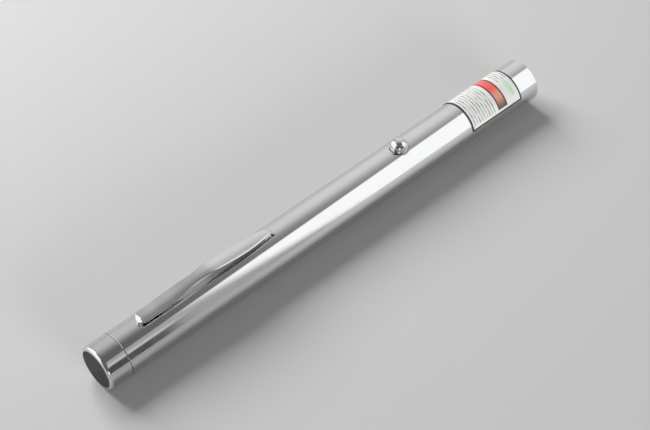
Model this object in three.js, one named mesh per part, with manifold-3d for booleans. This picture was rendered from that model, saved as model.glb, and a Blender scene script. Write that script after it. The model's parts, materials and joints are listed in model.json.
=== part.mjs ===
// A pen-shaped laser pointer: a plated brass tube with a pocket clip, a push button, a screw-off
// tail cap, two slim cells in a row, a driver board and a laser module behind the nose.
// Millimetres. X runs along the pen from the tail face to the head, Z is up, and the origin is the
// centre of the flat tail face, on the axis of the tube.

import * as THREE from 'three';
import { mergeVertices } from 'three/addons/utils/BufferGeometryUtils.js';
import Module from 'manifold-3d';

const wasm = await Module();
wasm.setup();

// Clearances
const restGap = 0.05;
const slideGap = 0.15;
const seamGap = 0.12;
const cutOverrun = 1;

// Cells: two AAA cells, nub towards the tail
const cellCount = 2;
const cellDiameter = 10.5;
const cellLength = 44.5;
const cellBoreClearance = 0.25;
const cellEdge = 0.5;
const nubDiameter = 3.8;
const nubHeight = 1;
const nubEdge = 0.25;
const nubFlangeDiameter = 5.6;
const nubFlangeThickness = 0.25;
const cellMouthDiameter = 8.9;
const cellMouthDepth = 0.6;
const insulatorThickness = 0.35;

// Barrel and tail cap
const barrelWall = 1;
const barrelEdge = 0.2;
const headEdge = 0.25;
const headInnerEdge = 0.12;
const tailCapLength = 6.8;
const tailCapFloor = 2.4;
const tailRimRound = 0.95;
const threadWall = 0.7;
const spigotLength = 4;
const spigotWall = 0.95;
const spigotEdge = 0.25;
const threadReliefDepth = 0.25;
const threadReliefWidth = 0.7;
const springSeatDepth = 0.4;

// Springs
const springSides = 5;
const springStepsPerTurn = 8;
const tailSpringWire = 0.6;
const tailSpringTurns = 5;
const tailSpringWideRadius = 3.7;
const tailSpringTipRadius = 1.3;
const contactSpringWire = 0.5;
const contactSpringTurns = 2;
const contactSpringLength = 3.2;
const contactSpringWideRadius = 2.7;
const contactSpringTipRadius = 1.6;
const lensSpringWire = 0.5;
const lensSpringPitch = 1.53;

// Pocket clip, a stamped and formed spring strip
const clipRootX = 58.9;
const clipLength = 44.95;
const clipHalfWidth = 2.25;
const clipThickness = 0.65;
const clipCrown = 0.28;
const clipRise = 3.4;
const clipEdgeRound = 0.28;
const clipTongueRadius = 2.25;
const clipLipHalfWidth = 0.55;
const clipRollRadius = 1.1;
const clipRollLift = 0.22;
const clipRollAngle = THREE.MathUtils.degToRad(75);
const clipLegHalfWidth = 1;
const clipBendRadius = 0.7;
const clipBendAngle = THREE.MathUtils.degToRad(58);
const clipBendLift = 0.4;
const clipFootGap = 0.1;

// The strip from the rolled lip to the root bend: place along it, half width and height of its top,
// as shares of the clip's length, of its half width and of its rise
const clipStripShares = [
  [0.085, 0.990, 0.520],
  [0.142, 1.000, 0.580],
  [0.205, 1.000, 0.635],
  [0.272, 0.975, 0.695],
  [0.340, 0.875, 0.790],
  [0.405, 0.745, 0.900],
  [0.475, 0.810, 0.980],
  [0.540, 0.900, 1.000],
  [0.615, 0.970, 0.930],
  [0.695, 0.995, 0.850],
  [0.780, 0.975, 0.760],
  [0.860, 0.850, 0.700],
  [0.930, 0.680, 0.640],
  [0.968, 0.540, 0.560],
];

// Push button
const buttonDiameter = 5.1;
const buttonDomeRise = 2.7;
const buttonShoulderLift = 0.1;
const buttonFlangeDiameter = 6.2;
const buttonFlangeThickness = 0.6;
const buttonHoleGap = 0.12;
const buttonHoleChamfer = 0.25;
const buttonHoleFlareShare = 0.45;
const buttonTravel = 0.5;
const buttonDomeSteps = 6;

// Driver board and what stands on it
const plateThickness = 0.4;
const plateDiameter = 6.4;
const boardLength = 21.5;
const boardWidth = 8.6;
const boardThickness = 1;
const boardTop = -1;
const boardNotchRadius = 0.6;
const switchInset = 2.7;
const switchSize = 4.5;
const switchHeight = 3.3;
const switchLidStep = 0.3;
const switchHoleDiameter = 2.7;
const stemDiameter = 2.3;
const stemSeat = 0.6;
const legThickness = 0.2;
const switchLegWidth = 0.8;
const switchLegReach = 0.8;
const chipPlace = 8.2;
const chipLength = 4.9;
const chipWidth = 3.9;
const chipHeight = 1.4;
const chipLegPitch = 1.27;
const chipLegWidth = 0.42;
const chipLegReach = 1;
const chipLegsPerSide = 4;
const trimmerPlace = 13.4;
const trimmerSize = 3.2;
const trimmerHeight = 1.3;
const trimmerRotorDiameter = 2.2;
const trimmerRotorHeight = 0.4;
const trimmerSlotWidth = 0.5;
const capacitorPlace = 13.4;
const capacitorSide = 3.1;
const capacitorLength = 2;
const capacitorWidth = 1.25;
const capacitorHeight = 1.2;
const resistorCount = 3;
const resistorPlace = 17.2;
const resistorPitch = 2.3;
const resistorLength = 2;
const resistorWidth = 1.25;
const resistorHeight = 0.55;
const partBevel = 0.1;

// Cradle under the board
const cradleClearance = 0.2;
const cradleRailWidth = 0.55;
const cradleRailRise = 0.35;
const cradleLedge = 0.9;
const cradleFloor = 1;

// Laser module
const moduleGap = 1.7;
const moduleLength = 24.8;
const moduleClearance = 0.2;
const moduleEdge = 0.3;
const diodeFlangeDiameter = 5.6;
const diodeFlangeThickness = 1.2;
const diodeCapDiameter = 3.6;
const diodeCapHeight = 2.3;
const diodePinDiameter = 0.45;
const diodePinLength = 5.6;
const diodePinSpread = 1.06;
const diodeFit = 0.1;
const retainerLength = 1;
const retainerHole = 4;
const diodeSocketInset = 0.3;
const holderDiameter = 6;
const holderLength = 5.3;
const holderGap = 0.6;
const crystalSide = 1.5;
const laserCrystalLength = 1;
const doublingCrystalLength = 2;
const crystalInset = 0.4;
const expanderDiameter = 2.8;
const expanderEdge = 0.9;
const expanderDish = 0.35;
const lensCellLength = 6.6;
const lensCellDiameter = 8.2;
const lensCellHole = 5.6;
const lensDiameter = 6.8;
const lensEdge = 1;
const lensBulge = 0.9;
const lensSeatDepth = 4;
const lensCellInset = 1.75;
const lensSteps = 4;

// Nose ring and its window
const noseGap = 0.1;
const noseLength = 3.3;
const noseInset = 0.8;
const noseWall = 0.15;
const noseDishDiameter = 9;
const noseAperture = 4;
const noseRim = 0.4;
const windowDiameter = 5.2;
const windowThickness = 0.8;

// Wrap-round label
const labelInset = 6.9;
const labelLength = 19.7;
const labelThickness = 0.08;
const labelGap = 0.05;
const labelHalfAngle = THREE.MathUtils.degToRad(80);
const labelCorner = 0.35;

// How many flat sides stand for each round form
const tubeSides = 48;
const labelSides = 30;
const buttonSides = 32;
const innerSides = 24;
const smallSides = 16;
const roundSteps = 3;
const clipStripSteps = 26;
const clipRollSteps = 5;
const clipBendSteps = 4;
const clipAcross = 6;

// Radii that follow from the cells outward
const cellRadius = cellDiameter / 2;
const boreRadius = cellRadius + cellBoreClearance;
const barrelRadius = boreRadius + barrelWall;
const threadBoreRadius = barrelRadius - threadWall;
const spigotRadius = threadBoreRadius - slideGap;
const spigotBoreRadius = spigotRadius - spigotWall;

// Places along the axis, from the tail to the head
const barrelTail = tailCapLength + seamGap;
const spigotEnd = tailCapLength + spigotLength;
const firstCellStart = spigotEnd + slideGap + restGap - nubHeight;
const cellPitch = cellLength + restGap;
const cellsEnd = firstCellStart + cellCount * cellPitch - restGap;
const plateStart = cellsEnd + restGap + contactSpringLength + restGap;
const boardStart = plateStart + plateThickness + restGap;
const boardEnd = boardStart + boardLength;
const buttonX = boardStart + switchInset;
const moduleStart = boardEnd + moduleGap;
const moduleEnd = moduleStart + moduleLength;
const noseStart = moduleEnd + noseGap;
const noseEnd = noseStart + noseLength;
const headEnd = noseEnd + noseInset;
const labelEnd = headEnd - labelInset;
const labelStart = labelEnd - labelLength;

// A closed mesh as a solid that can be cut and joined
function solidOf(geometry) {
  const bare = geometry.index ? geometry.toNonIndexed() : geometry.clone();
  bare.deleteAttribute('normal');
  bare.deleteAttribute('uv');
  const merged = mergeVertices(bare);
  const index = merged.index.array;
  const kept = [];
  for (let i = 0; i < index.length; i += 3) {
    const [a, b, c] = [index[i], index[i + 1], index[i + 2]];
    if (a !== b && b !== c && c !== a) kept.push(a, b, c);
  }
  const vertProperties = new Float32Array(merged.attributes.position.array);
  const triVerts = new Uint32Array(kept);
  return new wasm.Manifold(new wasm.Mesh({ numProp: 3, vertProperties, triVerts }));
}

// A cut or joined solid as a mesh again
function meshOf(solid) {
  const { vertProperties, triVerts } = solid.getMesh();
  const geometry = new THREE.BufferGeometry();
  geometry.setAttribute('position', new THREE.BufferAttribute(new Float32Array(vertProperties), 3));
  geometry.setIndex(new THREE.BufferAttribute(new Uint32Array(triVerts), 1));
  geometry.computeVertexNormals();
  return geometry;
}

// A profile of [place along the axis, radius], turned about the pen's axis. A facet faces straight
// down, so that the tube lies still.
function turned(profile, sides) {
  const points = profile.map(([along, radius]) => new THREE.Vector2(radius, along));
  const geometry = new THREE.LatheGeometry(points, sides, Math.PI / sides);
  geometry.rotateZ(-Math.PI / 2);
  return geometry;
}

// The same for a ring, whose profile closes on itself
function turnedRing(profile, sides) {
  return turned([...profile, profile[0]], sides);
}

// A profile of [height, radius], turned about the upright axis of the button
function turnedUpright(profile, sides) {
  const points = profile.map(([height, radius]) => new THREE.Vector2(radius, height));
  const geometry = new THREE.LatheGeometry(points, sides);
  geometry.rotateX(Math.PI / 2);
  geometry.translate(buttonX, 0, 0);
  return geometry;
}

// A box between two corners
function block([x0, y0, z0], [x1, y1, z1]) {
  const geometry = new THREE.BoxGeometry(x1 - x0, y1 - y0, z1 - z0);
  geometry.translate((x0 + x1) / 2, (y0 + y1) / 2, (z0 + z1) / 2);
  return geometry;
}

// An outline in Y and Z, drawn out along X
function drawnAlong(shape, start, length) {
  const geometry = new THREE.ExtrudeGeometry(shape, { depth: length, bevelEnabled: false });
  const across = new THREE.Vector3(0, 1, 0);
  const up = new THREE.Vector3(0, 0, 1);
  const along = new THREE.Vector3(1, 0, 0);
  geometry.applyMatrix4(new THREE.Matrix4().makeBasis(across, up, along));
  geometry.translate(start, 0, 0);
  return geometry;
}

// A small moulded block standing on the board, its top edge bevelled
function mouldedPart(centreX, centreY, length, width, height) {
  const shape = new THREE.Shape();
  const halfLength = length / 2 - partBevel;
  const halfWidth = width / 2 - partBevel;
  shape.moveTo(-halfLength, -halfWidth);
  shape.lineTo(halfLength, -halfWidth);
  shape.lineTo(halfLength, halfWidth);
  shape.lineTo(-halfLength, halfWidth);
  shape.closePath();
  const geometry = new THREE.ExtrudeGeometry(shape, {
    depth: height - partBevel - partBevel,
    bevelThickness: partBevel,
    bevelSize: partBevel,
    bevelSegments: 1,
  });
  geometry.translate(centreX, centreY, boardTop + restGap + partBevel);
  return geometry;
}

// The quarter round between a face and a turned side, as profile points
function quarterRound(centreAlong, centreRadius, radius, from, to) {
  const points = [];
  for (let i = 0; i <= roundSteps; i += 1) {
    const angle = from + (to - from) * i / roundSteps;
    points.push([centreAlong + radius * Math.cos(angle), centreRadius + radius * Math.sin(angle)]);
  }
  return points;
}

// Rings of points joined into one closed skin with flat ends
function skinOf(rings) {
  const count = rings[0].length;
  const positions = rings.flat().flatMap((point) => [point.x, point.y, point.z]);
  const index = [];
  for (let i = 0; i < rings.length - 1; i += 1) {
    for (let j = 0; j < count; j += 1) {
      const a = i * count + j;
      const b = i * count + (j + 1) % count;
      index.push(a, b, b + count, a, b + count, a + count);
    }
  }
  const last = (rings.length - 1) * count;
  for (let j = 1; j < count - 1; j += 1) {
    index.push(0, j + 1, j);
    index.push(last, last + j, last + j + 1);
  }
  const geometry = new THREE.BufferGeometry();
  geometry.setAttribute('position', new THREE.Float32BufferAttribute(positions, 3));
  geometry.setIndex(index);
  geometry.computeVertexNormals();
  return geometry;
}

// A coil spring along the axis from start to end, one unbroken wire whose ends run straight onto
// what they press. It prints the least gap between its turns.
function coilSpring(name, start, end, startRadius, endRadius, turns, wire) {
  const path = [new THREE.Vector3(start, 0, startRadius)];
  const woundStart = start + wire;
  const woundEnd = end - wire;
  const steps = Math.round(turns * springStepsPerTurn);
  for (let i = 0; i <= steps; i += 1) {
    const share = i / steps;
    const angle = 2 * Math.PI * i / springStepsPerTurn;
    const radius = startRadius + (endRadius - startRadius) * share;
    const along = woundStart + (woundEnd - woundStart) * share;
    path.push(new THREE.Vector3(along, radius * Math.sin(angle), radius * Math.cos(angle)));
  }
  const tip = path[path.length - 1];
  path.push(new THREE.Vector3(end, tip.y, tip.z));
  let least = Infinity;
  for (let i = 1; i + springStepsPerTurn < path.length - 1; i += 1) {
    least = Math.min(least, path[i].distanceTo(path[i + springStepsPerTurn]) - wire);
  }
  console.log(`${name}: least gap between turns ${least.toFixed(2)} mm`);
  return wireAlong(path, wire / 2);
}

// A round wire along a list of points, its section carried along without twist
function wireAlong(path, radius) {
  const rings = [];
  const normal = new THREE.Vector3(0, 1, 0);
  for (let i = 0; i < path.length; i += 1) {
    const before = path[Math.max(i - 1, 0)];
    const after = path[Math.min(i + 1, path.length - 1)];
    const tangent = after.clone().sub(before).normalize();
    normal.addScaledVector(tangent, -normal.dot(tangent)).normalize();
    const side = tangent.clone().cross(normal);
    const ring = [];
    for (let j = 0; j < springSides; j += 1) {
      const angle = 2 * Math.PI * j / springSides;
      const point = path[i].clone();
      point.addScaledVector(normal, radius * Math.cos(angle));
      point.addScaledVector(side, radius * Math.sin(angle));
      ring.push(point);
    }
    rings.push(ring);
  }
  return skinOf(rings);
}

// Barrel: one drawn tube, threaded inside at the tail, with a step for the nose ring at the head,
// a slot for the clip's foot and a chamfered hole for the button
function barrel() {
  const threadEnd = spigotEnd + slideGap;
  const noseBore = spigotRadius + noseWall;
  const tube = solidOf(turnedRing([
    [barrelTail, threadBoreRadius],
    [barrelTail, barrelRadius - barrelEdge],
    [barrelTail + barrelEdge, barrelRadius],
    [headEnd - headEdge, barrelRadius],
    ...quarterRound(headEnd - headEdge, barrelRadius - headEdge, headEdge, Math.PI / 2, 0).slice(1),
    [headEnd, noseBore + headInnerEdge],
    [headEnd - headInnerEdge, noseBore],
    [moduleEnd, noseBore],
    [moduleEnd, boreRadius],
    [threadEnd, boreRadius],
    [threadEnd, threadBoreRadius],
  ], tubeSides));
  const slotHalfLength = clipThickness / 2 + slideGap;
  const slotHalfWidth = clipLegHalfWidth + slideGap;
  const slot = solidOf(block(
    [clipRootX - slotHalfLength, -slotHalfWidth, boreRadius - cutOverrun],
    [clipRootX + slotHalfLength, slotHalfWidth, barrelRadius + cutOverrun],
  ));
  const holeRadius = buttonDiameter / 2 + buttonHoleGap;
  const chamferFoot = Math.sqrt(barrelRadius ** 2 - holeRadius ** 2) - buttonHoleChamfer;
  const chamferTop = barrelRadius + cutOverrun;
  const hole = solidOf(turnedUpright([
    [0, 0],
    [0, holeRadius],
    [chamferFoot, holeRadius],
    [chamferTop, holeRadius + buttonHoleFlareShare * (chamferTop - chamferFoot)],
    [chamferTop, 0],
  ], buttonSides));
  return meshOf(tube.subtract(slot).subtract(hole));
}

// Tail cap: a turned cup with a flat face, a rounded rim and a threaded spigot
function tailCap() {
  const rimCentre = barrelRadius - tailRimRound;
  const reliefEnd = tailCapLength + threadReliefWidth;
  const springSeat = tailSpringWideRadius + tailSpringWire;
  return turned([
    [0, 0],
    ...quarterRound(tailRimRound, rimCentre, tailRimRound, Math.PI, Math.PI / 2),
    [tailCapLength - barrelEdge, barrelRadius],
    [tailCapLength, barrelRadius - barrelEdge],
    [tailCapLength, spigotRadius - threadReliefDepth],
    [reliefEnd, spigotRadius - threadReliefDepth],
    [reliefEnd, spigotRadius],
    [spigotEnd - spigotEdge, spigotRadius],
    [spigotEnd, spigotRadius - spigotEdge],
    [spigotEnd, spigotBoreRadius],
    [tailCapFloor, spigotBoreRadius],
    [tailCapFloor, springSeat],
    [tailCapFloor - springSeatDepth, springSeat],
    [tailCapFloor - springSeatDepth, 0],
  ], tubeSides);
}

function tailSpring() {
  return coilSpring(
    'tail_spring',
    tailCapFloor - springSeatDepth + restGap,
    firstCellStart - restGap,
    tailSpringWideRadius,
    tailSpringTipRadius,
    tailSpringTurns,
    tailSpringWire,
  );
}

// Cell: a drawn can, open at the nub end, with an insulating washer and the nub's pressed cap
function cellCan(start) {
  const shoulder = start + nubHeight;
  const end = start + cellLength;
  const mouth = cellMouthDiameter / 2;
  return turned([
    [shoulder + cellMouthDepth, 0],
    [shoulder + cellMouthDepth, mouth],
    [shoulder, mouth],
    [shoulder, cellRadius - cellEdge],
    [shoulder + cellEdge, cellRadius],
    [end - cellEdge, cellRadius],
    [end, cellRadius - cellEdge],
    [end, 0],
  ], innerSides);
}

function cellNub(start) {
  const seat = start + nubHeight + cellMouthDepth - restGap;
  const flangeTop = seat - nubFlangeThickness;
  const nubRadius = nubDiameter / 2;
  return turned([
    [start, 0],
    [start, nubRadius - nubEdge],
    [start + nubEdge, nubRadius],
    [flangeTop, nubRadius],
    [flangeTop, nubFlangeDiameter / 2],
    [seat, nubFlangeDiameter / 2],
    [seat, 0],
  ], innerSides);
}

function cellInsulator(start) {
  const seat = start + nubHeight + cellMouthDepth - restGap;
  const inner = nubFlangeDiameter / 2 + restGap;
  const outer = cellMouthDiameter / 2 - restGap;
  return turnedRing([
    [seat - insulatorThickness, inner],
    [seat - insulatorThickness, outer],
    [seat, outer],
    [seat, inner],
  ], innerSides);
}

// Driver board: a narrow board with a solder notch at each corner of its head end
function driverBoard() {
  const halfWidth = boardWidth / 2;
  const shape = new THREE.Shape();
  shape.moveTo(0, -halfWidth);
  shape.lineTo(boardLength - boardNotchRadius, -halfWidth);
  shape.absarc(boardLength, -halfWidth, boardNotchRadius, Math.PI, Math.PI / 2, true);
  shape.lineTo(boardLength, halfWidth - boardNotchRadius);
  shape.absarc(boardLength, halfWidth, boardNotchRadius, -Math.PI / 2, -Math.PI, true);
  shape.lineTo(0, halfWidth);
  shape.closePath();
  const geometry = new THREE.ExtrudeGeometry(shape, {
    depth: boardThickness,
    bevelEnabled: false,
    curveSegments: roundSteps,
  });
  geometry.translate(boardStart, 0, boardTop - boardThickness);
  return geometry;
}

// Cradle: a moulded half sleeve that fills the tube under the board and grips its edges
function boardCradle() {
  const outer = boreRadius - cradleClearance;
  const railInner = boardWidth / 2 + restGap;
  const railTop = boardTop + cradleRailRise;
  const railOuter = railInner + cradleRailWidth;
  const shelf = boardTop - boardThickness - restGap;
  const hollow = railInner - cradleLedge;
  const floor = cradleFloor - outer;
  const shape = new THREE.Shape();
  shape.moveTo(railInner, railTop);
  shape.lineTo(railInner, shelf);
  shape.lineTo(hollow, shelf);
  shape.lineTo(hollow, -Math.sqrt((outer - cradleFloor) ** 2 - hollow ** 2));
  shape.absarc(0, 0, -floor, -Math.acos(hollow / -floor), Math.acos(hollow / -floor) - Math.PI, true);
  shape.lineTo(-hollow, shelf);
  shape.lineTo(-railInner, shelf);
  shape.lineTo(-railInner, railTop);
  shape.lineTo(-railOuter, railTop);
  const railFoot = Math.acos(railOuter / outer);
  shape.absarc(0, 0, outer, railFoot - Math.PI, -railFoot, false);
  shape.lineTo(railOuter, railTop);
  shape.closePath();
  return drawnAlong(shape, boardStart, boardLength);
}

// Contact plate: the disc that closes the cell bay and carries the contact spring
function contactPlate() {
  return turned([
    [plateStart, 0],
    [plateStart, plateDiameter / 2],
    [plateStart + plateThickness, plateDiameter / 2],
    [plateStart + plateThickness, 0],
  ], innerSides);
}

function contactSpring() {
  return coilSpring(
    'contact_spring',
    cellsEnd + restGap,
    plateStart - restGap,
    contactSpringTipRadius,
    contactSpringWideRadius,
    contactSpringTurns,
    contactSpringWire,
  );
}

// Push switch: a square case with a stepped lid, a round hole for its stem and four flat legs
const switchBottom = boardTop + restGap;
const switchTop = switchBottom + switchHeight;
const buttonFlangeTop = Math.sqrt(boreRadius ** 2 - (buttonFlangeDiameter / 2) ** 2) - slideGap;
const buttonFlangeBottom = buttonFlangeTop - buttonFlangeThickness;

function switchBody() {
  const half = switchSize / 2;
  const lidHalf = half - switchLidStep;
  const lidFoot = switchTop - switchLidStep;
  let body = solidOf(block([buttonX - half, -half, switchBottom], [buttonX + half, half, lidFoot]));
  const lid = block([buttonX - lidHalf, -lidHalf, switchBottom], [buttonX + lidHalf, lidHalf, switchTop]);
  body = body.add(solidOf(lid));
  for (const side of [-1, 1]) {
    const legX = buttonX + side * (half - switchLegWidth);
    const legHalf = switchLegWidth / 2;
    const reach = half + switchLegReach;
    const legTop = switchBottom + legThickness;
    const leg = block([legX - legHalf, -reach, switchBottom], [legX + legHalf, reach, legTop]);
    body = body.add(solidOf(leg));
  }
  const holeFoot = switchTop - stemSeat - buttonTravel - slideGap;
  const hole = turnedUpright([
    [holeFoot, 0],
    [holeFoot, switchHoleDiameter / 2],
    [switchTop + cutOverrun, switchHoleDiameter / 2],
    [switchTop + cutOverrun, 0],
  ], smallSides);
  return meshOf(body.subtract(solidOf(hole)));
}

function switchStem() {
  return turnedUpright([
    [switchTop - stemSeat, 0],
    [switchTop - stemSeat, stemDiameter / 2],
    [buttonFlangeBottom - restGap - partBevel, stemDiameter / 2],
    [buttonFlangeBottom - restGap, stemDiameter / 2 - partBevel],
    [buttonFlangeBottom - restGap, 0],
  ], smallSides);
}

// Button: a turned dome with a flange that keeps it inside the barrel
function buttonCap() {
  const radius = buttonDiameter / 2;
  const shoulder = barrelRadius + buttonShoulderLift;
  const domeRise = buttonDomeRise - buttonShoulderLift;
  const dome = [[shoulder, radius]];
  for (let i = 1; i < buttonDomeSteps; i += 1) {
    const angle = Math.PI / 2 * i / buttonDomeSteps;
    dome.push([shoulder + domeRise * Math.sin(angle), radius * Math.cos(angle)]);
  }
  return turnedUpright([
    [buttonFlangeBottom, 0],
    [buttonFlangeBottom, buttonFlangeDiameter / 2],
    [buttonFlangeTop, buttonFlangeDiameter / 2],
    [buttonFlangeTop, radius],
    ...dome,
    [shoulder + domeRise, 0],
  ], buttonSides);
}

// Small parts on the board
function driverChip() {
  const centre = boardStart + chipPlace;
  let chip = solidOf(mouldedPart(centre, 0, chipLength, chipWidth, chipHeight));
  const legBottom = boardTop + restGap;
  for (let i = 0; i < chipLegsPerSide; i += 1) {
    const legX = centre + (i - (chipLegsPerSide - 1) / 2) * chipLegPitch;
    const half = chipLegWidth / 2;
    const reach = chipWidth / 2 + chipLegReach;
    const bar = block([legX - half, -reach, legBottom], [legX + half, reach, legBottom + legThickness]);
    chip = chip.add(solidOf(bar));
  }
  return meshOf(chip);
}

function trimPot() {
  const centre = boardStart + trimmerPlace;
  const base = mouldedPart(centre, 0, trimmerSize, trimmerSize, trimmerHeight);
  const baseTop = boardTop + restGap + trimmerHeight;
  const rotorTop = baseTop + trimmerRotorHeight;
  const rotor = turnedUpright([
    [baseTop - trimmerRotorHeight, 0],
    [baseTop - trimmerRotorHeight, trimmerRotorDiameter / 2],
    [rotorTop, trimmerRotorDiameter / 2],
    [rotorTop, 0],
  ], smallSides);
  rotor.translate(centre - buttonX, 0, 0);
  const slotHalf = trimmerSlotWidth / 2;
  const slot = block(
    [centre - trimmerSize, -slotHalf, baseTop],
    [centre + trimmerSize, slotHalf, rotorTop + cutOverrun],
  );
  return meshOf(solidOf(base).add(solidOf(rotor)).subtract(solidOf(slot)));
}

function capacitor() {
  return mouldedPart(
    boardStart + capacitorPlace,
    capacitorSide,
    capacitorLength,
    capacitorWidth,
    capacitorHeight,
  );
}

function resistor(number) {
  const middle = (resistorCount - 1) / 2;
  const side = (number - middle) * resistorPitch;
  return mouldedPart(boardStart + resistorPlace, side, resistorLength, resistorWidth, resistorHeight);
}

// Laser module: a brass body that takes the pump diode from behind and the optics from the front
const diodeFlangeStart = moduleStart + diodeSocketInset + retainerLength + restGap;
const diodeFlangeEnd = diodeFlangeStart + diodeFlangeThickness;
const holderStart = diodeFlangeEnd + diodeCapHeight + holderGap;
const holderEnd = holderStart + holderLength;
const lensCellEnd = moduleEnd - lensCellInset;
const lensCellStart = lensCellEnd - lensCellLength;
const lensSpringStart = holderEnd + restGap;
const lensSpringEnd = lensCellStart - restGap;
const lensSpringTurns = (lensSpringEnd - lensSpringStart - 2 * lensSpringWire) / lensSpringPitch;
const frontBoreRadius = lensCellDiameter / 2 + diodeFit;

function moduleBody() {
  const outer = boreRadius - moduleClearance;
  const socket = diodeFlangeDiameter / 2 + diodeFit;
  const throat = diodeCapDiameter / 2 + diodeFit;
  const chamber = holderDiameter / 2 + diodeFit;
  const flangeSeat = diodeFlangeEnd + restGap;
  const holderSeat = holderStart - restGap;
  return turnedRing([
    [moduleStart, socket],
    [moduleStart, outer - moduleEdge],
    [moduleStart + moduleEdge, outer],
    [moduleEnd - moduleEdge, outer],
    [moduleEnd, outer - moduleEdge],
    [moduleEnd, frontBoreRadius],
    [holderEnd, frontBoreRadius],
    [holderEnd, chamber],
    [holderSeat, chamber],
    [holderSeat, throat],
    [flangeSeat, throat],
    [flangeSeat, socket],
  ], innerSides);
}

function pumpDiode() {
  const flangeRadius = diodeFlangeDiameter / 2;
  const capRadius = diodeCapDiameter / 2;
  const capEnd = diodeFlangeEnd + diodeCapHeight;
  let diode = solidOf(turned([
    [diodeFlangeStart, 0],
    [diodeFlangeStart, flangeRadius],
    [diodeFlangeEnd, flangeRadius],
    [diodeFlangeEnd, capRadius],
    [capEnd - partBevel, capRadius],
    [capEnd, capRadius - partBevel],
    [capEnd, 0],
  ], innerSides));
  const pinRadius = diodePinDiameter / 2;
  for (const side of [-1, 1]) {
    const pin = turned([
      [diodeFlangeStart - diodePinLength, 0],
      [diodeFlangeStart - diodePinLength, pinRadius],
      [diodeFlangeEnd, pinRadius],
      [diodeFlangeEnd, 0],
    ], smallSides / 2);
    pin.translate(0, side * diodePinSpread, boardTop + restGap + pinRadius);
    diode = diode.add(solidOf(pin));
  }
  return meshOf(diode);
}

function diodeRetainer() {
  const start = moduleStart + diodeSocketInset;
  return turnedRing([
    [start, retainerHole / 2],
    [start, diodeFlangeDiameter / 2],
    [start + retainerLength, diodeFlangeDiameter / 2],
    [start + retainerLength, retainerHole / 2],
  ], innerSides);
}

// Crystal holder: a ring with a square pocket for the two crystals and a round seat for the lens
const laserCrystalStart = holderStart + crystalInset;
const doublingCrystalStart = laserCrystalStart + laserCrystalLength + restGap;
const expanderStart = doublingCrystalStart + doublingCrystalLength + restGap + crystalInset;

function crystalHolder() {
  const ring = solidOf(turned([
    [holderStart, 0],
    [holderStart, holderDiameter / 2],
    [holderEnd, holderDiameter / 2],
    [holderEnd, 0],
  ], innerSides));
  const pocketHalf = crystalSide / 2 + restGap;
  const pocket = block(
    [holderStart - cutOverrun, -pocketHalf, -pocketHalf],
    [holderEnd + cutOverrun, pocketHalf, pocketHalf],
  );
  const seatRadius = expanderDiameter / 2 + restGap;
  const seat = turned([
    [expanderStart - restGap, 0],
    [expanderStart - restGap, seatRadius],
    [holderEnd + cutOverrun, seatRadius],
    [holderEnd + cutOverrun, 0],
  ], innerSides);
  return meshOf(ring.subtract(solidOf(pocket)).subtract(solidOf(seat)));
}

function crystal(start, length) {
  const half = crystalSide / 2;
  return block([start, -half, -half], [start + length, half, half]);
}

// A lens face as profile points, from the rim to the axis
function lensFace(rimAlong, radius, bulge) {
  const points = [];
  for (let i = 1; i <= lensSteps; i += 1) {
    const share = 1 - i / lensSteps;
    points.push([rimAlong + bulge * (1 - share * share), radius * share]);
  }
  return points;
}

function expanderLens() {
  const radius = expanderDiameter / 2;
  const rim = expanderStart + expanderEdge;
  return turned([
    [expanderStart, 0],
    [expanderStart, radius],
    [rim, radius],
    ...lensFace(rim, radius, -expanderDish),
  ], smallSides);
}

function lensSpring() {
  const radius = frontBoreRadius - lensSpringWire;
  return coilSpring(
    'lens_spring',
    lensSpringStart,
    lensSpringEnd,
    radius,
    radius,
    lensSpringTurns,
    lensSpringWire,
  );
}

function lensCell() {
  const outer = lensCellDiameter / 2;
  const seat = lensCellEnd - lensSeatDepth;
  const seatRadius = lensDiameter / 2 + restGap;
  return turnedRing([
    [lensCellStart, lensCellHole / 2],
    [lensCellStart, outer - moduleEdge],
    [lensCellStart + moduleEdge, outer],
    [lensCellEnd - moduleEdge, outer],
    [lensCellEnd, outer - moduleEdge],
    [lensCellEnd, seatRadius],
    [seat, seatRadius],
    [seat, lensCellHole / 2],
  ], innerSides);
}

function collimatingLens() {
  const radius = lensDiameter / 2;
  const start = lensCellEnd - lensSeatDepth + restGap;
  return turned([
    [start, 0],
    [start, radius],
    [start + lensEdge, radius],
    ...lensFace(start + lensEdge, radius, lensBulge),
  ], innerSides);
}

// Nose ring: a dished ring round the beam's way out, with the window seated behind it
function noseRing() {
  const dishFoot = noseStart + windowThickness + restGap + noseRim;
  const windowSeat = noseStart + windowThickness + restGap;
  const windowRadius = windowDiameter / 2 + restGap;
  return turnedRing([
    [noseStart, windowRadius],
    [noseStart, spigotRadius],
    [noseEnd - barrelEdge, spigotRadius],
    [noseEnd, spigotRadius - barrelEdge],
    [noseEnd, noseDishDiameter / 2],
    [dishFoot, noseAperture / 2],
    [windowSeat, noseAperture / 2],
    [windowSeat, windowRadius],
  ], innerSides + innerSides);
}

function apertureWindow() {
  return turned([
    [noseStart, 0],
    [noseStart, windowDiameter / 2],
    [noseStart + windowThickness, windowDiameter / 2],
    [noseStart + windowThickness, 0],
  ], innerSides);
}

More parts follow.
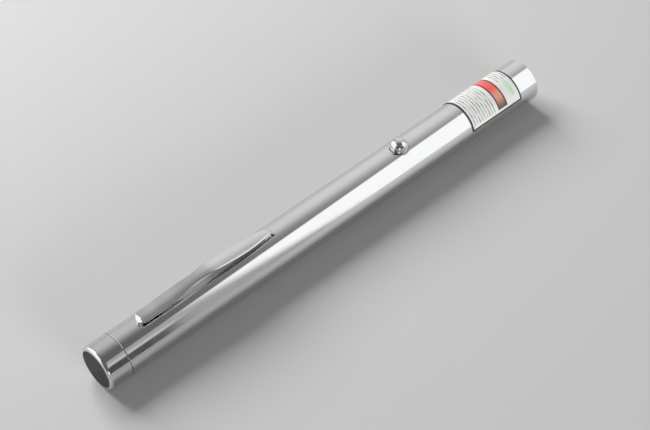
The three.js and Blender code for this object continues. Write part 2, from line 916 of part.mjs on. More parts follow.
// Label: a thin skin wrapped round the top of the tube, its corners cut off
function label() {
  const inner = barrelRadius + labelGap;
  const outer = inner + labelThickness;
  const rings = [];
  for (let i = 0; i <= labelSides; i += 1) {
    const angle = labelHalfAngle * (2 * i / labelSides - 1);
    const fromEdge = (labelHalfAngle - Math.abs(angle)) * barrelRadius;
    const corner = Math.max(labelCorner - fromEdge, 0);
    const [low, high] = [labelStart + corner, labelEnd - corner];
    const at = (along, radius) => (
      new THREE.Vector3(along, radius * Math.sin(angle), radius * Math.cos(angle))
    );
    rings.push([at(low, inner), at(low, outer), at(high, outer), at(high, inner)]);
  }
  return skinOf(rings);
}

// Pocket clip. Its middle line is a list of stations, each with a place, the direction in which
// the strip runs and a half width: the lip rolled down onto the barrel, the waisted strip that
// stands off it, the tight bend at the root and the foot in the barrel's slot.
function clipStations() {
  const tipX = clipRootX - clipLength;
  const halfThick = clipThickness / 2;
  const stations = [];
  const rollX = tipX + clipRollRadius + halfThick;
  const rollZ = barrelRadius + clipRollLift;
  for (let i = 0; i < clipRollSteps; i += 1) {
    const angle = clipRollAngle * i / clipRollSteps;
    stations.push({
      x: rollX - clipRollRadius * Math.cos(angle),
      z: rollZ + clipRollRadius * Math.sin(angle),
      slope: Math.PI / 2 - angle,
      halfWidth: 0,
    });
  }
  const strip = new THREE.CatmullRomCurve3([
    new THREE.Vector3(
      rollX - clipRollRadius * Math.cos(clipRollAngle),
      clipHalfWidth,
      rollZ + clipRollRadius * Math.sin(clipRollAngle),
    ),
    ...clipStripShares.map(([along, width, rise]) => new THREE.Vector3(
      tipX + clipLength * along,
      clipHalfWidth * width,
      barrelRadius + clipRise * rise - halfThick,
    )),
    new THREE.Vector3(
      clipRootX - clipBendRadius * (1 - Math.cos(clipBendAngle)),
      clipLegHalfWidth,
      barrelRadius + clipBendLift + clipBendRadius * Math.sin(clipBendAngle),
    ),
  ]);
  for (let i = 0; i < clipStripSteps; i += 1) {
    const share = i / clipStripSteps;
    const point = strip.getPointAt(share);
    const tangent = strip.getTangentAt(share);
    stations.push({ x: point.x, z: point.z, slope: Math.atan2(tangent.z, tangent.x), halfWidth: point.y });
  }
  for (let i = 0; i <= clipBendSteps; i += 1) {
    const angle = clipBendAngle * (1 - i / clipBendSteps);
    stations.push({
      x: clipRootX - clipBendRadius * (1 - Math.cos(angle)),
      z: barrelRadius + clipBendLift + clipBendRadius * Math.sin(angle),
      slope: angle - Math.PI / 2,
      halfWidth: clipLegHalfWidth,
    });
  }
  stations.push({
    x: clipRootX,
    z: boreRadius + clipFootGap,
    slope: -Math.PI / 2,
    halfWidth: clipLegHalfWidth,
  });
  for (const station of stations) {
    const fromTip = station.x - halfThick * Math.sin(station.slope) - tipX;
    const round = Math.max(clipTongueRadius - fromTip, 0);
    if (round > 0) {
      const tongue = Math.sqrt(Math.max(clipTongueRadius ** 2 - round ** 2, 0));
      station.halfWidth = Math.max(tongue * clipHalfWidth / clipTongueRadius, clipLipHalfWidth);
    }
  }
  return stations;
}

// The strip's section at a station: crowned across, with its four long edges rounded off
function clipSection({ x, z, slope, halfWidth }) {
  const ring = [];
  const crown = clipCrown * (halfWidth / clipHalfWidth) ** 2;
  const halfThick = clipThickness / 2;
  const place = (across, lift) => new THREE.Vector3(
    x - lift * Math.sin(slope),
    across,
    z + lift * Math.cos(slope),
  );
  const edge = halfWidth - clipEdgeRound;
  for (const side of [1, -1]) {
    ring.push(place(side * halfWidth, side * (halfThick - clipEdgeRound) - crown));
    for (let j = 0; j <= clipAcross; j += 1) {
      const share = 1 - 2 * j / clipAcross;
      const across = side * share * edge;
      ring.push(place(across, side * halfThick - crown * (across / halfWidth) ** 2));
    }
    ring.push(place(-side * halfWidth, side * (halfThick - clipEdgeRound) - crown));
  }
  return ring;
}

function pocketClip() {
  return skinOf(clipStations().map(clipSection));
}

// Finishes
const chrome = { color: 0xd4d6d8, roughness: 0.06, metalness: 1 };
const satinSteel = { color: 0x77787c, roughness: 0.4, metalness: 1 };
const brass = { color: 0xc9a45c, roughness: 0.3, metalness: 1 };
const springSteel = { color: 0xb9bbbd, roughness: 0.25, metalness: 1 };
const canJacket = { color: 0x3a3f46, roughness: 0.45, metalness: 0.2 };
const whitePlastic = { color: 0xe9e6dc, roughness: 0.5, metalness: 0 };
const blackPlastic = { color: 0x1b1b1d, roughness: 0.5, metalness: 0 };
const boardGreen = { color: 0x1e5a35, roughness: 0.5, metalness: 0 };
const glass = { color: 0xe6eef0, roughness: 0.02, metalness: 0 };
const crystalTint = { color: 0xc9b6d8, roughness: 0.05, metalness: 0 };
const labelPaper = { color: 0xe9e8e2, roughness: 0.35, metalness: 0 };

const pen = new THREE.Group();

function put(name, geometry, finish) {
  const mesh = new THREE.Mesh(geometry, new THREE.MeshStandardMaterial(finish));
  mesh.name = name;
  pen.add(mesh);
}

put('barrel', barrel(), chrome);
put('tail_cap', tailCap(), chrome);
put('tail_spring', tailSpring(), springSteel);
put('pocket_clip', pocketClip(), chrome);
put('button_cap', buttonCap(), chrome);
put('label', label(), labelPaper);

for (let i = 0; i < cellCount; i += 1) {
  const start = firstCellStart + i * cellPitch;
  put(`cell_${i + 1}_can`, cellCan(start), canJacket);
  put(`cell_${i + 1}_nub`, cellNub(start), springSteel);
  put(`cell_${i + 1}_insulator`, cellInsulator(start), whitePlastic);
}

put('contact_spring', contactSpring(), springSteel);
put('contact_plate', contactPlate(), brass);
put('driver_board', driverBoard(), boardGreen);
put('board_cradle', boardCradle(), whitePlastic);
put('switch_body', switchBody(), blackPlastic);
put('switch_stem', switchStem(), whitePlastic);
put('driver_chip', driverChip(), blackPlastic);
put('trim_pot', trimPot(), satinSteel);
put('capacitor', capacitor(), brass);
for (let i = 0; i < resistorCount; i += 1) {
  put(`resistor_${i + 1}`, resistor(i), blackPlastic);
}

put('module_body', moduleBody(), brass);
put('diode_retainer', diodeRetainer(), brass);
put('pump_diode', pumpDiode(), satinSteel);
put('crystal_holder', crystalHolder(), brass);
put('laser_crystal', crystal(laserCrystalStart, laserCrystalLength), crystalTint);
put('doubling_crystal', crystal(doublingCrystalStart, doublingCrystalLength), glass);
put('expander_lens', expanderLens(), glass);
put('lens_spring', lensSpring(), springSteel);
put('lens_cell', lensCell(), brass);
put('collimating_lens', collimatingLens(), glass);
put('nose_ring', noseRing(), satinSteel);
put('aperture_window', apertureWindow(), glass);

export default pen;
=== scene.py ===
# %% [markdown]
# # A pen-shaped laser pointer
#
# The object is a slim, chrome-plated brass tube with a sprung pocket clip, a domed push button, a
# screw-off tail cap and a printed label near the nose. Inside sit two cells, a driver board and
# the laser module.
#
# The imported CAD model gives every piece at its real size, but with flat facets. Chrome is a mirror,
# and a mirror shows each facet, so the shiny pieces are built again here as smooth surfaces from
# the CAD outlines. The turned pieces that only show when the pen is apart are made smooth too.

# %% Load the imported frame
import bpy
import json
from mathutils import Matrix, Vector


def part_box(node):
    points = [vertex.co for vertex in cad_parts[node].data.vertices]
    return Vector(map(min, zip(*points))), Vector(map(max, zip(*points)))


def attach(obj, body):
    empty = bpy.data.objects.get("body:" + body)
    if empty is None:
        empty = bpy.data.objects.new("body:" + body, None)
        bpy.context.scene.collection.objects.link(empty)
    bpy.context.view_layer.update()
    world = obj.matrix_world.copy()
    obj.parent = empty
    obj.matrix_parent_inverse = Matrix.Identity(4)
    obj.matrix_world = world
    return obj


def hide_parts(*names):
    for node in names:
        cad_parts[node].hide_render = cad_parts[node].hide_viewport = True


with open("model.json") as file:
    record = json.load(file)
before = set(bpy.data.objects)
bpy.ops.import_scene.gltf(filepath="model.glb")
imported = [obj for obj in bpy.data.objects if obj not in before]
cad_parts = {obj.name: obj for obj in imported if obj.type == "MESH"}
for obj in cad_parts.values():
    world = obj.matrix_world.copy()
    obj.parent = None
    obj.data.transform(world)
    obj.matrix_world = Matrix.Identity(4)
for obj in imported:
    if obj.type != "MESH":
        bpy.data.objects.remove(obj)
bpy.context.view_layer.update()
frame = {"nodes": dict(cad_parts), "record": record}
print("CAD nodes:", len(frame["nodes"]))

# %% Libraries and units
import json
import math
import bpy
import numpy as np
from mathutils import Matrix, Vector

MM = 0.001
FULL_TURN = 2 * math.pi

# %% [markdown]
# ## The camera first
#
# The camera stands behind the tail, off to the -Y side, about 47 degrees above the table. A long
# lens keeps the tube's sides nearly parallel. A camera can be aimed with a Track To constraint, or
# by hand. Here it is placed, turned towards a point beside the pen's axis, and rolled a little,
# because nobody holds a camera quite level.

# %% Camera
CAMERA_PLACE = Vector((-125.61, -243.33, 343.40)) * MM
CAMERA_TARGET = Vector((77.46, -0.38, 0.0)) * MM
CAMERA_ROLL = math.radians(-2.74)
FOCAL_LENGTH = 94.98
SENSOR_WIDTH = 36


def add_object(name, data):
    """A new object made of the data, in the scene."""
    made = bpy.data.objects.new(name, data)
    bpy.context.scene.collection.objects.link(made)
    return made


def make_camera():
    camera = add_object("camera", bpy.data.cameras.new("camera"))
    camera.data.sensor_width = SENSOR_WIDTH
    camera.data.lens = FOCAL_LENGTH
    aim = (CAMERA_TARGET - CAMERA_PLACE).to_track_quat("-Z", "Y").to_matrix().to_4x4()
    camera.matrix_world = Matrix.Translation(CAMERA_PLACE) @ aim @ Matrix.Rotation(CAMERA_ROLL, 4, "Z")
    bpy.context.scene.camera = camera


make_camera()
print("camera to pen, mm:", round((CAMERA_TARGET - CAMERA_PLACE).length / MM))

# %% [markdown]
# ## Small tools for shader nodes
#
# Materials are built from nodes in code. A few short helpers keep that readable: one adds a node
# and sets its options, and one plugs a value or another socket into an input. The rest add the
# nodes that come up again and again: arithmetic, a smooth step and a mix.

# %% Node helpers
# The Mix node has sockets for every type of value: the numbers of factor, first, second and result
MIX_SOCKETS = {"RGBA": (0, 6, 7, 2), "FLOAT": (0, 2, 3, 0)}


def add_node(tree, kind, **settings):
    node = tree.nodes.new(kind)
    for name, value in settings.items():
        setattr(node, name, value)
    return node


def plug(tree, target, source):
    if isinstance(source, bpy.types.NodeSocket):
        tree.links.new(source, target)
    else:
        target.default_value = source


def math_node(tree, operation, *values):
    node = add_node(tree, "ShaderNodeMath", operation=operation)
    for socket, value in zip(node.inputs, values):
        plug(tree, socket, value)
    return node.outputs[0]


def product(tree, first, *others):
    for other in others:
        first = math_node(tree, "MULTIPLY", first, other)
    return first


def ramp_between(tree, value, low, high, out_low=0.0, out_high=1.0):
    """A smooth step: out_low where the value is low, out_high where it is high."""
    node = add_node(tree, "ShaderNodeMapRange", interpolation_type="SMOOTHSTEP")
    given = {"Value": value, "From Min": low, "From Max": high, "To Min": out_low, "To Max": out_high}
    for name, number in given.items():
        plug(tree, node.inputs[name], number)
    return node.outputs["Result"]


def mix(tree, factor, first, second, kind="RGBA"):
    """The first where the factor is 0, the second where it is 1."""
    node = add_node(tree, "ShaderNodeMix", data_type=kind)
    *places, result = MIX_SOCKETS[kind]
    for place, value in zip(places, (factor, first, second)):
        plug(tree, node.inputs[place], value)
    return node.outputs[result]


print("node helpers:", ", ".join(helper.__name__ for helper in (math_node, product, ramp_between, mix)))

# %% [markdown]
# A pattern is worked out at a place. Object coordinates are used all through: they are metres in
# the pen's own frame, so a pattern stays on its piece when the piece moves. An effect that several
# finishes share is a node group, made once, with named inputs that each finish sets for itself.

# %% Patterns and groups
def noise(tree, place, scale, detail=2.0, rough=0.5):
    node = add_node(tree, "ShaderNodeTexNoise")
    given = {"Vector": place, "Scale": scale, "Detail": detail, "Roughness": rough}
    for name, value in given.items():
        plug(tree, node.inputs[name], value)
    return node.outputs["Fac"]


def object_place(tree, stretch=(1, 1, 1)):
    """The point on the piece, with the pattern squeezed along each axis by the stretch."""
    node = add_node(tree, "ShaderNodeVectorMath", operation="MULTIPLY")
    plug(tree, node.inputs[0], add_node(tree, "ShaderNodeTexCoord").outputs["Object"])
    plug(tree, node.inputs[1], stretch)
    return node.outputs[0]


def new_group(name, inputs, outputs):
    """A shader node group with named number inputs and outputs."""
    tree = bpy.data.node_groups.new(name, "ShaderNodeTree")
    for label, value in inputs.items():
        socket = tree.interface.new_socket(label, in_out="INPUT", socket_type="NodeSocketFloat")
        socket.default_value = value
    for label in outputs:
        tree.interface.new_socket(label, in_out="OUTPUT", socket_type="NodeSocketFloat")
    return tree, tree.nodes.new("NodeGroupInput").outputs, tree.nodes.new("NodeGroupOutput").inputs


def use_group(tree, group, **values):
    node = add_node(tree, "ShaderNodeGroup", node_tree=group)
    for name, value in values.items():
        plug(tree, node.inputs[name], value)
    return node.outputs


print("pattern helpers:", ", ".join(helper.__name__ for helper in (noise, object_place, use_group)))

# %% [markdown]
# ## Handling marks, shared by every finish
#
# Nothing that lives in a pocket is perfectly clean. Two things show on a polished surface: broad,
# soft smudges that dull the shine a little, and hairline scratches that mostly run along the pen,
# the way it slides in and out. One node group makes both, and each finish sets how much it wants.

# %% Handling marks
SMUDGE_SCALE = 160.0
SMUDGE_STEP = (0.48, 0.74)
HAIRLINE_SCALE = 40.0
HAIRLINE_STEP = (0.60, 0.72)
HAIRLINE_STRETCH = (1, 45, 45)
HAIRLINE_DULLING = 0.5


def make_handling_marks():
    tree, given, out = new_group("handling marks", {"Smudge": 0.5, "Hairline": 0.5}, ["Dulling"])
    smudge = noise(tree, object_place(tree), SMUDGE_SCALE, detail=4.0, rough=0.6)
    smudge = product(tree, ramp_between(tree, smudge, *SMUDGE_STEP), given["Smudge"])
    lines = noise(tree, object_place(tree, HAIRLINE_STRETCH), HAIRLINE_SCALE, detail=3.0, rough=0.7)
    lines = product(tree, ramp_between(tree, lines, *HAIRLINE_STEP), given["Hairline"], HAIRLINE_DULLING)
    plug(tree, out["Dulling"], math_node(tree, "ADD", smudge, lines))
    return tree


handling_marks = make_handling_marks()
print("group:", handling_marks.name)

# %% [markdown]
# ## Turning lines, shared by the lathe-turned metals
#
# A lathe tool leaves fine rings: round a side they follow each other along the axis, and on a flat
# end they are circles about it. Adding the distance along the axis to the distance from it gives
# one number that steps across the rings on both, and a one-dimensional noise of that number makes
# rings of uneven depth.

# %% Turning lines
RING_WIDTH = 0.09 * MM
RING_TONE_STEP = (0.3, 0.7)


def make_turning_lines():
    tree, given, out = new_group("turning lines", {"Width": 1.0, "Depth": 1.0}, ["Height", "Tone"])
    parts = add_node(tree, "ShaderNodeSeparateXYZ")
    plug(tree, parts.inputs[0], add_node(tree, "ShaderNodeTexCoord").outputs["Object"])
    along, across, up = parts.outputs
    squared = math_node(tree, "ADD", product(tree, across, across), product(tree, up, up))
    travel = math_node(tree, "ADD", along, math_node(tree, "SQRT", squared))
    rings = add_node(tree, "ShaderNodeTexNoise", noise_dimensions="1D")
    ring_number = math_node(tree, "DIVIDE", travel, RING_WIDTH)
    plug(tree, rings.inputs["W"], math_node(tree, "DIVIDE", ring_number, given["Width"]))
    rings.inputs["Detail"].default_value = 3.0
    rings.inputs["Roughness"].default_value = 0.7
    plug(tree, out["Height"], product(tree, rings.outputs["Fac"], given["Depth"]))
    plug(tree, out["Tone"], ramp_between(tree, rings.outputs["Fac"], *RING_TONE_STEP))
    return tree


turning_lines = make_turning_lines()
print("group:", turning_lines.name)

# %% [markdown]
# ## Moulded grain, shared by plastics, lacquer and film
#
# Moulded plastic, solder lacquer and printed film are all a little uneven: a fine pebble that
# breaks up the highlight, and a slow drift of tone. The group takes the pebble's size in
# millimetres.

# %% Moulded grain
DRIFT_SCALE = 350.0
DRIFT_STEP = (0.35, 0.65)


def make_moulded_grain():
    tree, given, out = new_group("moulded grain", {"Pebble": 0.3}, ["Height", "Drift"])
    pebble_scale = math_node(tree, "DIVIDE", 1.0, product(tree, given["Pebble"], MM))
    plug(tree, out["Height"], noise(tree, object_place(tree), pebble_scale, detail=3.0))
    drift = noise(tree, object_place(tree), DRIFT_SCALE)
    plug(tree, out["Drift"], ramp_between(tree, drift, *DRIFT_STEP))
    return tree


moulded_grain = make_moulded_grain()
print("group:", moulded_grain.name)

# %% [markdown]
# ## The finishes
#
# Each finish is one material with its own Principled shader. Numbers that are the same all over,
# such as metalness, are typed into the shader. Only what changes over the surface comes through
# nodes: a little tone in the colour, the dulling of smudges and scratches in the roughness, and
# waves, rings or grain as bump.

# %% Material helpers
def new_material(name, **constants):
    material = bpy.data.materials.new(name)
    material.use_nodes = True
    tree = material.node_tree
    shader = tree.nodes["Principled BSDF"]
    for label, value in constants.items():
        shader.inputs[label.replace("_", " ")].default_value = value
    return material, tree, shader


def shaded(colour, share=1.0):
    """The colour, opaque, made lighter or darker by a share."""
    return (*(min(part * share, 1.0) for part in colour), 1.0)


def two_shades(tree, factor, colour, first_share, second_share):
    return mix(tree, factor, shaded(colour, first_share), shaded(colour, second_share))


def add_marks(tree, shader, roughness, smudge, hairline):
    """The finish's own roughness, with handling marks on it. Returns how much they dull it."""
    dulling = use_group(tree, handling_marks, Smudge=smudge, Hairline=hairline)["Dulling"]
    plug(tree, shader.inputs["Roughness"], math_node(tree, "ADD", dulling, roughness))
    return dulling


def bump(tree, shader, height, distance):
    node = add_node(tree, "ShaderNodeBump")
    node.inputs["Distance"].default_value = distance
    plug(tree, node.inputs["Height"], height)
    plug(tree, shader.inputs["Normal"], node.outputs[0])


materials = {}
print("groups to place in the finishes:", len(bpy.data.node_groups))

# %% [markdown]
# ### Chrome plate
#
# Bright chrome over polished brass is neutral, with a faint cool cast. It gives back only about two
# thirds of the light, so it is a darker mirror than silver. On a drawn tube the polish follows the
# surface but leaves it very slightly wavy, which is what makes a real reflection look alive. A
# perfectly even mirror looks like a computer picture, so a broad, shallow noise bends the normals a
# little. It could be displaced geometry, but it is only microns deep, so bump is right.

# %% Chrome
CHROME = (0.66, 0.665, 0.67)
CHROME_ROUGHNESS = 0.055
CHROME_MARKS = (0.05, 0.03)
HEAVY_DULLING = 0.2
SMUDGED_SHARE = 0.93
WAVE_SCALE = 95.0
WAVE_STRETCH = (0.35, 1, 1)
WAVE_DEPTH = 0.012 * MM


def make_chrome():
    material, tree, shader = new_material("chrome_plate", Metallic=1.0)
    dulling = add_marks(tree, shader, CHROME_ROUGHNESS, *CHROME_MARKS)
    smudged = ramp_between(tree, dulling, 0.0, HEAVY_DULLING)
    plug(tree, shader.inputs["Base Color"], two_shades(tree, smudged, CHROME, 1.0, SMUDGED_SHARE))
    waves = noise(tree, object_place(tree, WAVE_STRETCH), WAVE_SCALE, detail=1.0)
    bump(tree, shader, waves, WAVE_DEPTH)
    return material


materials["chrome_plate"] = make_chrome()
print("made", materials["chrome_plate"].name)

# %% [markdown]
# ### Turned metals
#
# The tail face and the nose ring are left as the lathe cut them, so they are satin beside the
# chrome. The tail face is much the darker of the two: its near-black colour is a painted dark
# reflection of the surroundings that it faces. The inner brass parts, the nickelled cell caps and
# the drawn spring wire use the same recipe with other colours, ring widths and shine.

# %% Turned metals
METAL_SHADES = (0.88, 1.08)
RING_BUMP = 0.006 * MM
# Colour, roughness, ring width, ring depth, and how much smudge and scratch it has
METALS = {
    "satin_steel": ((0.47, 0.47, 0.49), 0.34, 1.0, 1.0, 0.10),
    "spring_steel": ((0.73, 0.73, 0.74), 0.24, 0.6, 0.5, 0.05),
    "brass": ((0.79, 0.60, 0.30), 0.27, 1.2, 1.0, 0.12),
    "nickel": ((0.76, 0.73, 0.68), 0.18, 1.6, 0.3, 0.06),
    # The tail face's near-black colour is painted dark reflection, not the turned metal's own colour
    "tail_face": ((0.024, 0.022, 0.029), 0.42, 0.8, 0.8, 0.10),
}


def make_metal(name, colour, roughness, ring_width, ring_depth, marks):
    material, tree, shader = new_material(name, Metallic=1.0)
    rings = use_group(tree, turning_lines, Width=ring_width, Depth=ring_depth)
    plug(tree, shader.inputs["Base Color"], two_shades(tree, rings["Tone"], colour, *METAL_SHADES))
    add_marks(tree, shader, roughness, marks, marks)
    bump(tree, shader, rings["Height"], RING_BUMP)
    return material


for name, recipe in METALS.items():
    materials[name] = make_metal(name, *recipe)
print("metals:", ", ".join(METALS))

# %% [markdown]
# ### Plastics, board lacquer and cell film
#
# The white insulators and the cradle, the black parts on the board, the board's green lacquer and
# the dark film shrunk round each cell all have a slightly uneven skin. They could share one image
# texture, but that would need a UV map on every piece. A noise in the pen's own frame needs none,
# so one recipe serves them all: only the colour, the shine and the pebble differ.

# %% Plastics
PLASTIC_SHADES = (0.93, 1.05)
PLASTIC_MARKS = (0.12, 0.06)
# Colour, roughness, pebble size in mm and depth of the grain
PLASTICS = {
    "white_plastic": ((0.91, 0.90, 0.86), 0.45, 0.25, 0.01 * MM),
    "black_plastic": ((0.045, 0.045, 0.05), 0.48, 0.18, 0.012 * MM),
    "board": ((0.020, 0.130, 0.052), 0.30, 0.40, 0.006 * MM),
    "cell_jacket": ((0.045, 0.055, 0.068), 0.22, 2.50, 0.02 * MM),
}


def make_plastic(name, colour, roughness, pebble, depth):
    material, tree, shader = new_material(name)
    grain = use_group(tree, moulded_grain, Pebble=pebble)
    plug(tree, shader.inputs["Base Color"], two_shades(tree, grain["Drift"], colour, *PLASTIC_SHADES))
    add_marks(tree, shader, roughness, *PLASTIC_MARKS)
    bump(tree, shader, grain["Height"], depth)
    return material


for name, recipe in PLASTICS.items():
    materials[name] = make_plastic(name, *recipe)
print("plastics:", ", ".join(PLASTICS))

# %% [markdown]
# ### Glass and crystals
#
# The window, the two lenses and the two small crystals are clear. Transmission stays a plain
# number, and only a trace of dulling varies over the faces.

# %% Glass
GLASS_ROUGHNESS = 0.01
GLASS_MARKS = (0.05, 0.0)
# Colour and index of refraction
CLEAR = {
    "glass": ((0.93, 0.97, 0.98), 1.50),
    "crystal": ((0.80, 0.62, 0.90), 1.82),
}


def make_glass(name, colour, ior):
    constants = {"Base_Color": shaded(colour), "Transmission_Weight": 1.0, "IOR": ior}
    material, tree, shader = new_material(name, **constants)
    add_marks(tree, shader, GLASS_ROUGHNESS, *GLASS_MARKS)
    return material


for name, recipe in CLEAR.items():
    materials[name] = make_glass(name, *recipe)
print("clear finishes:", ", ".join(CLEAR))

# %% [markdown]
# ## Reading an outline off a faceted part
#
# A turned part is one outline swept round an axis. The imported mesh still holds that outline: it is
# the chain of edges that lie on one meridian. Reading it back means that the smooth piece follows
# the CAD sizes exactly, with no numbers typed twice.

# %% Read outlines
SAME = 0.001 * MM
MERIDIAN_DEGREES = 0.05
OUTLINE_DIGITS = 3


def turned_places(node, axis):
    """Each vertex's place along the node's axis, its radius, and its angle about the axis in degrees."""
    points = np.array([vertex.co for vertex in frame["nodes"][node].data.vertices])
    if axis == "X":
        along, side, down = points[:, 0], points[:, 1], -points[:, 2]
    else:
        low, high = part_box(node)
        along, side, down = points[:, 2], points[:, 0] - (low.x + high.x) / 2, points[:, 1]
    return along, np.hypot(side, down), np.degrees(np.arctan2(side, down))


def meridian_edges(node, axis):
    """The outline's points as (along, radius) in mm, each with the points that an edge joins it to."""
    along, radius, angle = turned_places(node, axis)
    off_axis = radius > SAME
    meridian = angle[off_axis][np.abs(angle[off_axis]).argmin()]
    chosen = (np.abs(angle - meridian) < MERIDIAN_DEGREES) | ~off_axis
    flat = np.round(np.stack([along, radius], axis=1) / MM, OUTLINE_DIGITS)
    points = [tuple(point) for point in flat]
    joined = {}
    for face in frame["nodes"][node].data.polygons:
        for first, second in face.edge_keys:
            start, end = points[first], points[second]
            on_axis = start[1] == 0 and end[1] == 0
            if chosen[first] and chosen[second] and start != end and not on_axis:
                joined.setdefault(start, set()).add(end)
                joined.setdefault(end, set()).add(start)
    return joined


def read_outline(node, axis="X"):
    """The node's turned outline as ordered [along, radius] points, and whether it is a closed loop."""
    joined = meridian_edges(node, axis)
    ends = sorted(point for point in joined if len(joined[point]) == 1)
    chain = [ends[0] if ends else min(joined)]
    while True:
        onward = sorted(point for point in joined[chain[-1]] if point not in chain[-2:])
        if not onward or onward[0] == chain[0]:
            return np.array(chain) * MM, not ends
        chain.append(onward[0])


barrel_radius = read_outline("barrel")[0][:, 1].max()
print("barrel radius, mm:", round(barrel_radius / MM, 3))

# %% [markdown]
# ## Softening the corners
#
# No real edge is perfectly sharp, and on chrome the tiny rounded edge is the brightest line there
# is. Each outward corner gets an arc. Where the CAD outline already bends in several small steps,
# it stands for a curve, so there the arcs are as large as the steps allow and join into one smooth
# line. A Bevel modifier could round the corners too, but it doesn't know the exact normals of the
# arc. Here each point carries the normal of the outline before it and after it, so the long mirror
# of the tube stays undistorted right up to its edges.

# %% Soften outlines
NOTHING = 1e-9
# A bend under the first, in radians, is no corner, and one under the second is a step of a curve
STRAIGHT = 0.001
SOFT_BEND = math.radians(40)
ARC_STEP = math.radians(8)
CORNER_ROOM = 0.45


def turned_area(points):
    """Positive where the outline runs counter-clockwise in the plane of along and radius."""
    ahead = np.roll(points, -1, axis=0)
    return np.sum(points[:, 0] * ahead[:, 1] - ahead[:, 0] * points[:, 1]) / 2


def corner_cut(bend, room, edge):
    """How far from the corner its arc starts. It is 0 where the corner stays as it is."""
    if abs(bend) < STRAIGHT:
        return 0
    if abs(bend) < SOFT_BEND:
        return room / 2
    return min(edge * math.tan(bend / 2), room * CORNER_ROOM) if bend > 0 else 0


def round_corner(previous, here, following, edge):
    """The corner as points of an arc, each with the outward normal before it and after it."""
    come, leave = here - previous, following - here
    room = min(np.linalg.norm(come), np.linalg.norm(leave))
    come, leave = come / np.linalg.norm(come), leave / np.linalg.norm(leave)
    bend = math.atan2(come[0] * leave[1] - come[1] * leave[0], come @ leave)
    cut = corner_cut(bend, room, edge)
    if cut == 0:
        return [(here, (come[1], -come[0]), (leave[1], -leave[0]))]
    steps = 2 * math.ceil(abs(bend) / ARC_STEP / 2)
    arc_radius = cut / math.tan(bend / 2)
    centre = here - come * cut + np.array([-come[1], come[0]]) * arc_radius
    start = math.atan2(-come[0], come[1])
    arc = []
    for direction in start + bend * np.arange(steps + 1) / steps:
        normal = np.array([math.cos(direction), math.sin(direction)])
        arc.append((centre + normal * arc_radius, normal, normal))
    return arc


def soften(points, closed, edge):
    """Rounds the outline. Returns its points, and the outward normal before and after each."""
    if turned_area(points) < 0:
        points = points[::-1]
    mirror = np.array([1, -1])
    if closed:
        padded = np.vstack([points[-1:], points, points[:1]])
    else:
        padded = np.vstack([points[1:2] * mirror, points, points[-2:-1] * mirror])
    rounded = []
    for previous, here, following in zip(padded, padded[1:], padded[2:]):
        rounded += round_corner(previous, here, following, edge)
    places, before, after = (np.array(part) for part in zip(*rounded))
    kept = places[:, 1] > -NOTHING
    places[:, 1] = np.maximum(places[:, 1], 0)
    return places[kept], before[kept], after[kept]


tail_points, tail_closed = read_outline("tail_cap")
softened = soften(tail_points, tail_closed, 0.1 * MM)
print("tail cap outline:", len(tail_points), "points, softened:", len(softened[0]))

# %% [markdown]
# ## Turning an outline into a mesh
#
# The lathe sweeps the softened outline round its axis. A Screw modifier does the same sweep, but it
# works the normals out again from the faces. Here every face corner gets the exact normal of the
# outline as a custom normal, so the mesh shades as a true surface of revolution.

# %% Lathe
# Which axis the outline lies along, and the two across it
AXES = {"X": [0, 1, 2], "Z": [2, 0, 1]}


def new_mesh(name, vertices, faces, smooth=True):
    mesh = bpy.data.meshes.new(name)
    mesh.from_pydata(vertices, [], faces, shade_flat=not smooth)
    return mesh


def set_normals(mesh, normals):
    """One normal for each face corner. A corner with a zero normal keeps Blender's own."""
    mesh.normals_split_custom_set([tuple(normal) for normal in normals])


def lathe_mesh(name, outline, closed, sides, axis="X", centre=(0, 0, 0)):
    places, before, after = outline
    along_axis, first_axis, second_axis = np.eye(3)[AXES[axis]]
    angles = np.arange(sides) * FULL_TURN / sides
    spokes = np.outer(np.cos(angles), first_axis) + np.outer(np.sin(angles), second_axis)
    vertices, rings = [], []
    for along, radius in places:
        if radius < NOTHING:
            rings.append([len(vertices)] * sides)
            vertices.append(along * along_axis)
            continue
        rings.append(list(range(len(vertices), len(vertices) + sides)))
        vertices.extend(along * along_axis + radius * spokes)
    faces, normals = [], []
    count = len(places)
    for start in range(count if closed else count - 1):
        end = (start + 1) % count
        if np.linalg.norm(places[start] - places[end]) < NOTHING:
            rings[end] = rings[start]
            continue
        leaving = after[start][0] * along_axis + after[start][1] * spokes
        arriving = before[end][0] * along_axis + before[end][1] * spokes
        for j in range(sides):
            k = (j + 1) % sides
            corners = [(rings[start][j], leaving[j]), (rings[end][j], arriving[j]),
                       (rings[end][k], arriving[k]), (rings[start][k], leaving[k])]
            if corners[1][0] == corners[2][0]:
                corners.pop(2)
            if corners[0][0] == corners[-1][0]:
                corners.pop()
            faces.append([index for index, _ in corners])
            normals.extend(normal for _, normal in corners)
    mesh = new_mesh(name, [Vector(centre) + Vector(vertex) for vertex in vertices], faces)
    set_normals(mesh, normals)
    return mesh


print("the lathe can turn about:", ", ".join(AXES))

# %% [markdown]
# Each piece then goes into the scene, gets its finish, rides on the body that moves it, and hides
# the CAD nodes it stands for. The record of the CAD model knows each node's body, and the node's
# own mesh knows its material slot.

# %% Pieces in the scene
def show(name, data, body, slot, *replaced):
    """Puts a mesh or curve in the scene as a piece that rides on a body, and hides the CAD nodes it
    replaces.
    """
    piece = add_object(name, data)
    if not data.materials:
        data.materials.append(materials[slot])
    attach(piece, body)
    if replaced:
        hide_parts(*replaced)
    return piece


def body_of(node):
    return next(body for body, nodes in frame["record"]["behaviour"]["bodies"].items() if node in nodes)


def slot_of(node):
    return frame["nodes"][node].data.materials[0].name.split(".")[0]


print("the button cap rides on", body_of("button_cap"), "and its slot is", slot_of("button_cap"))

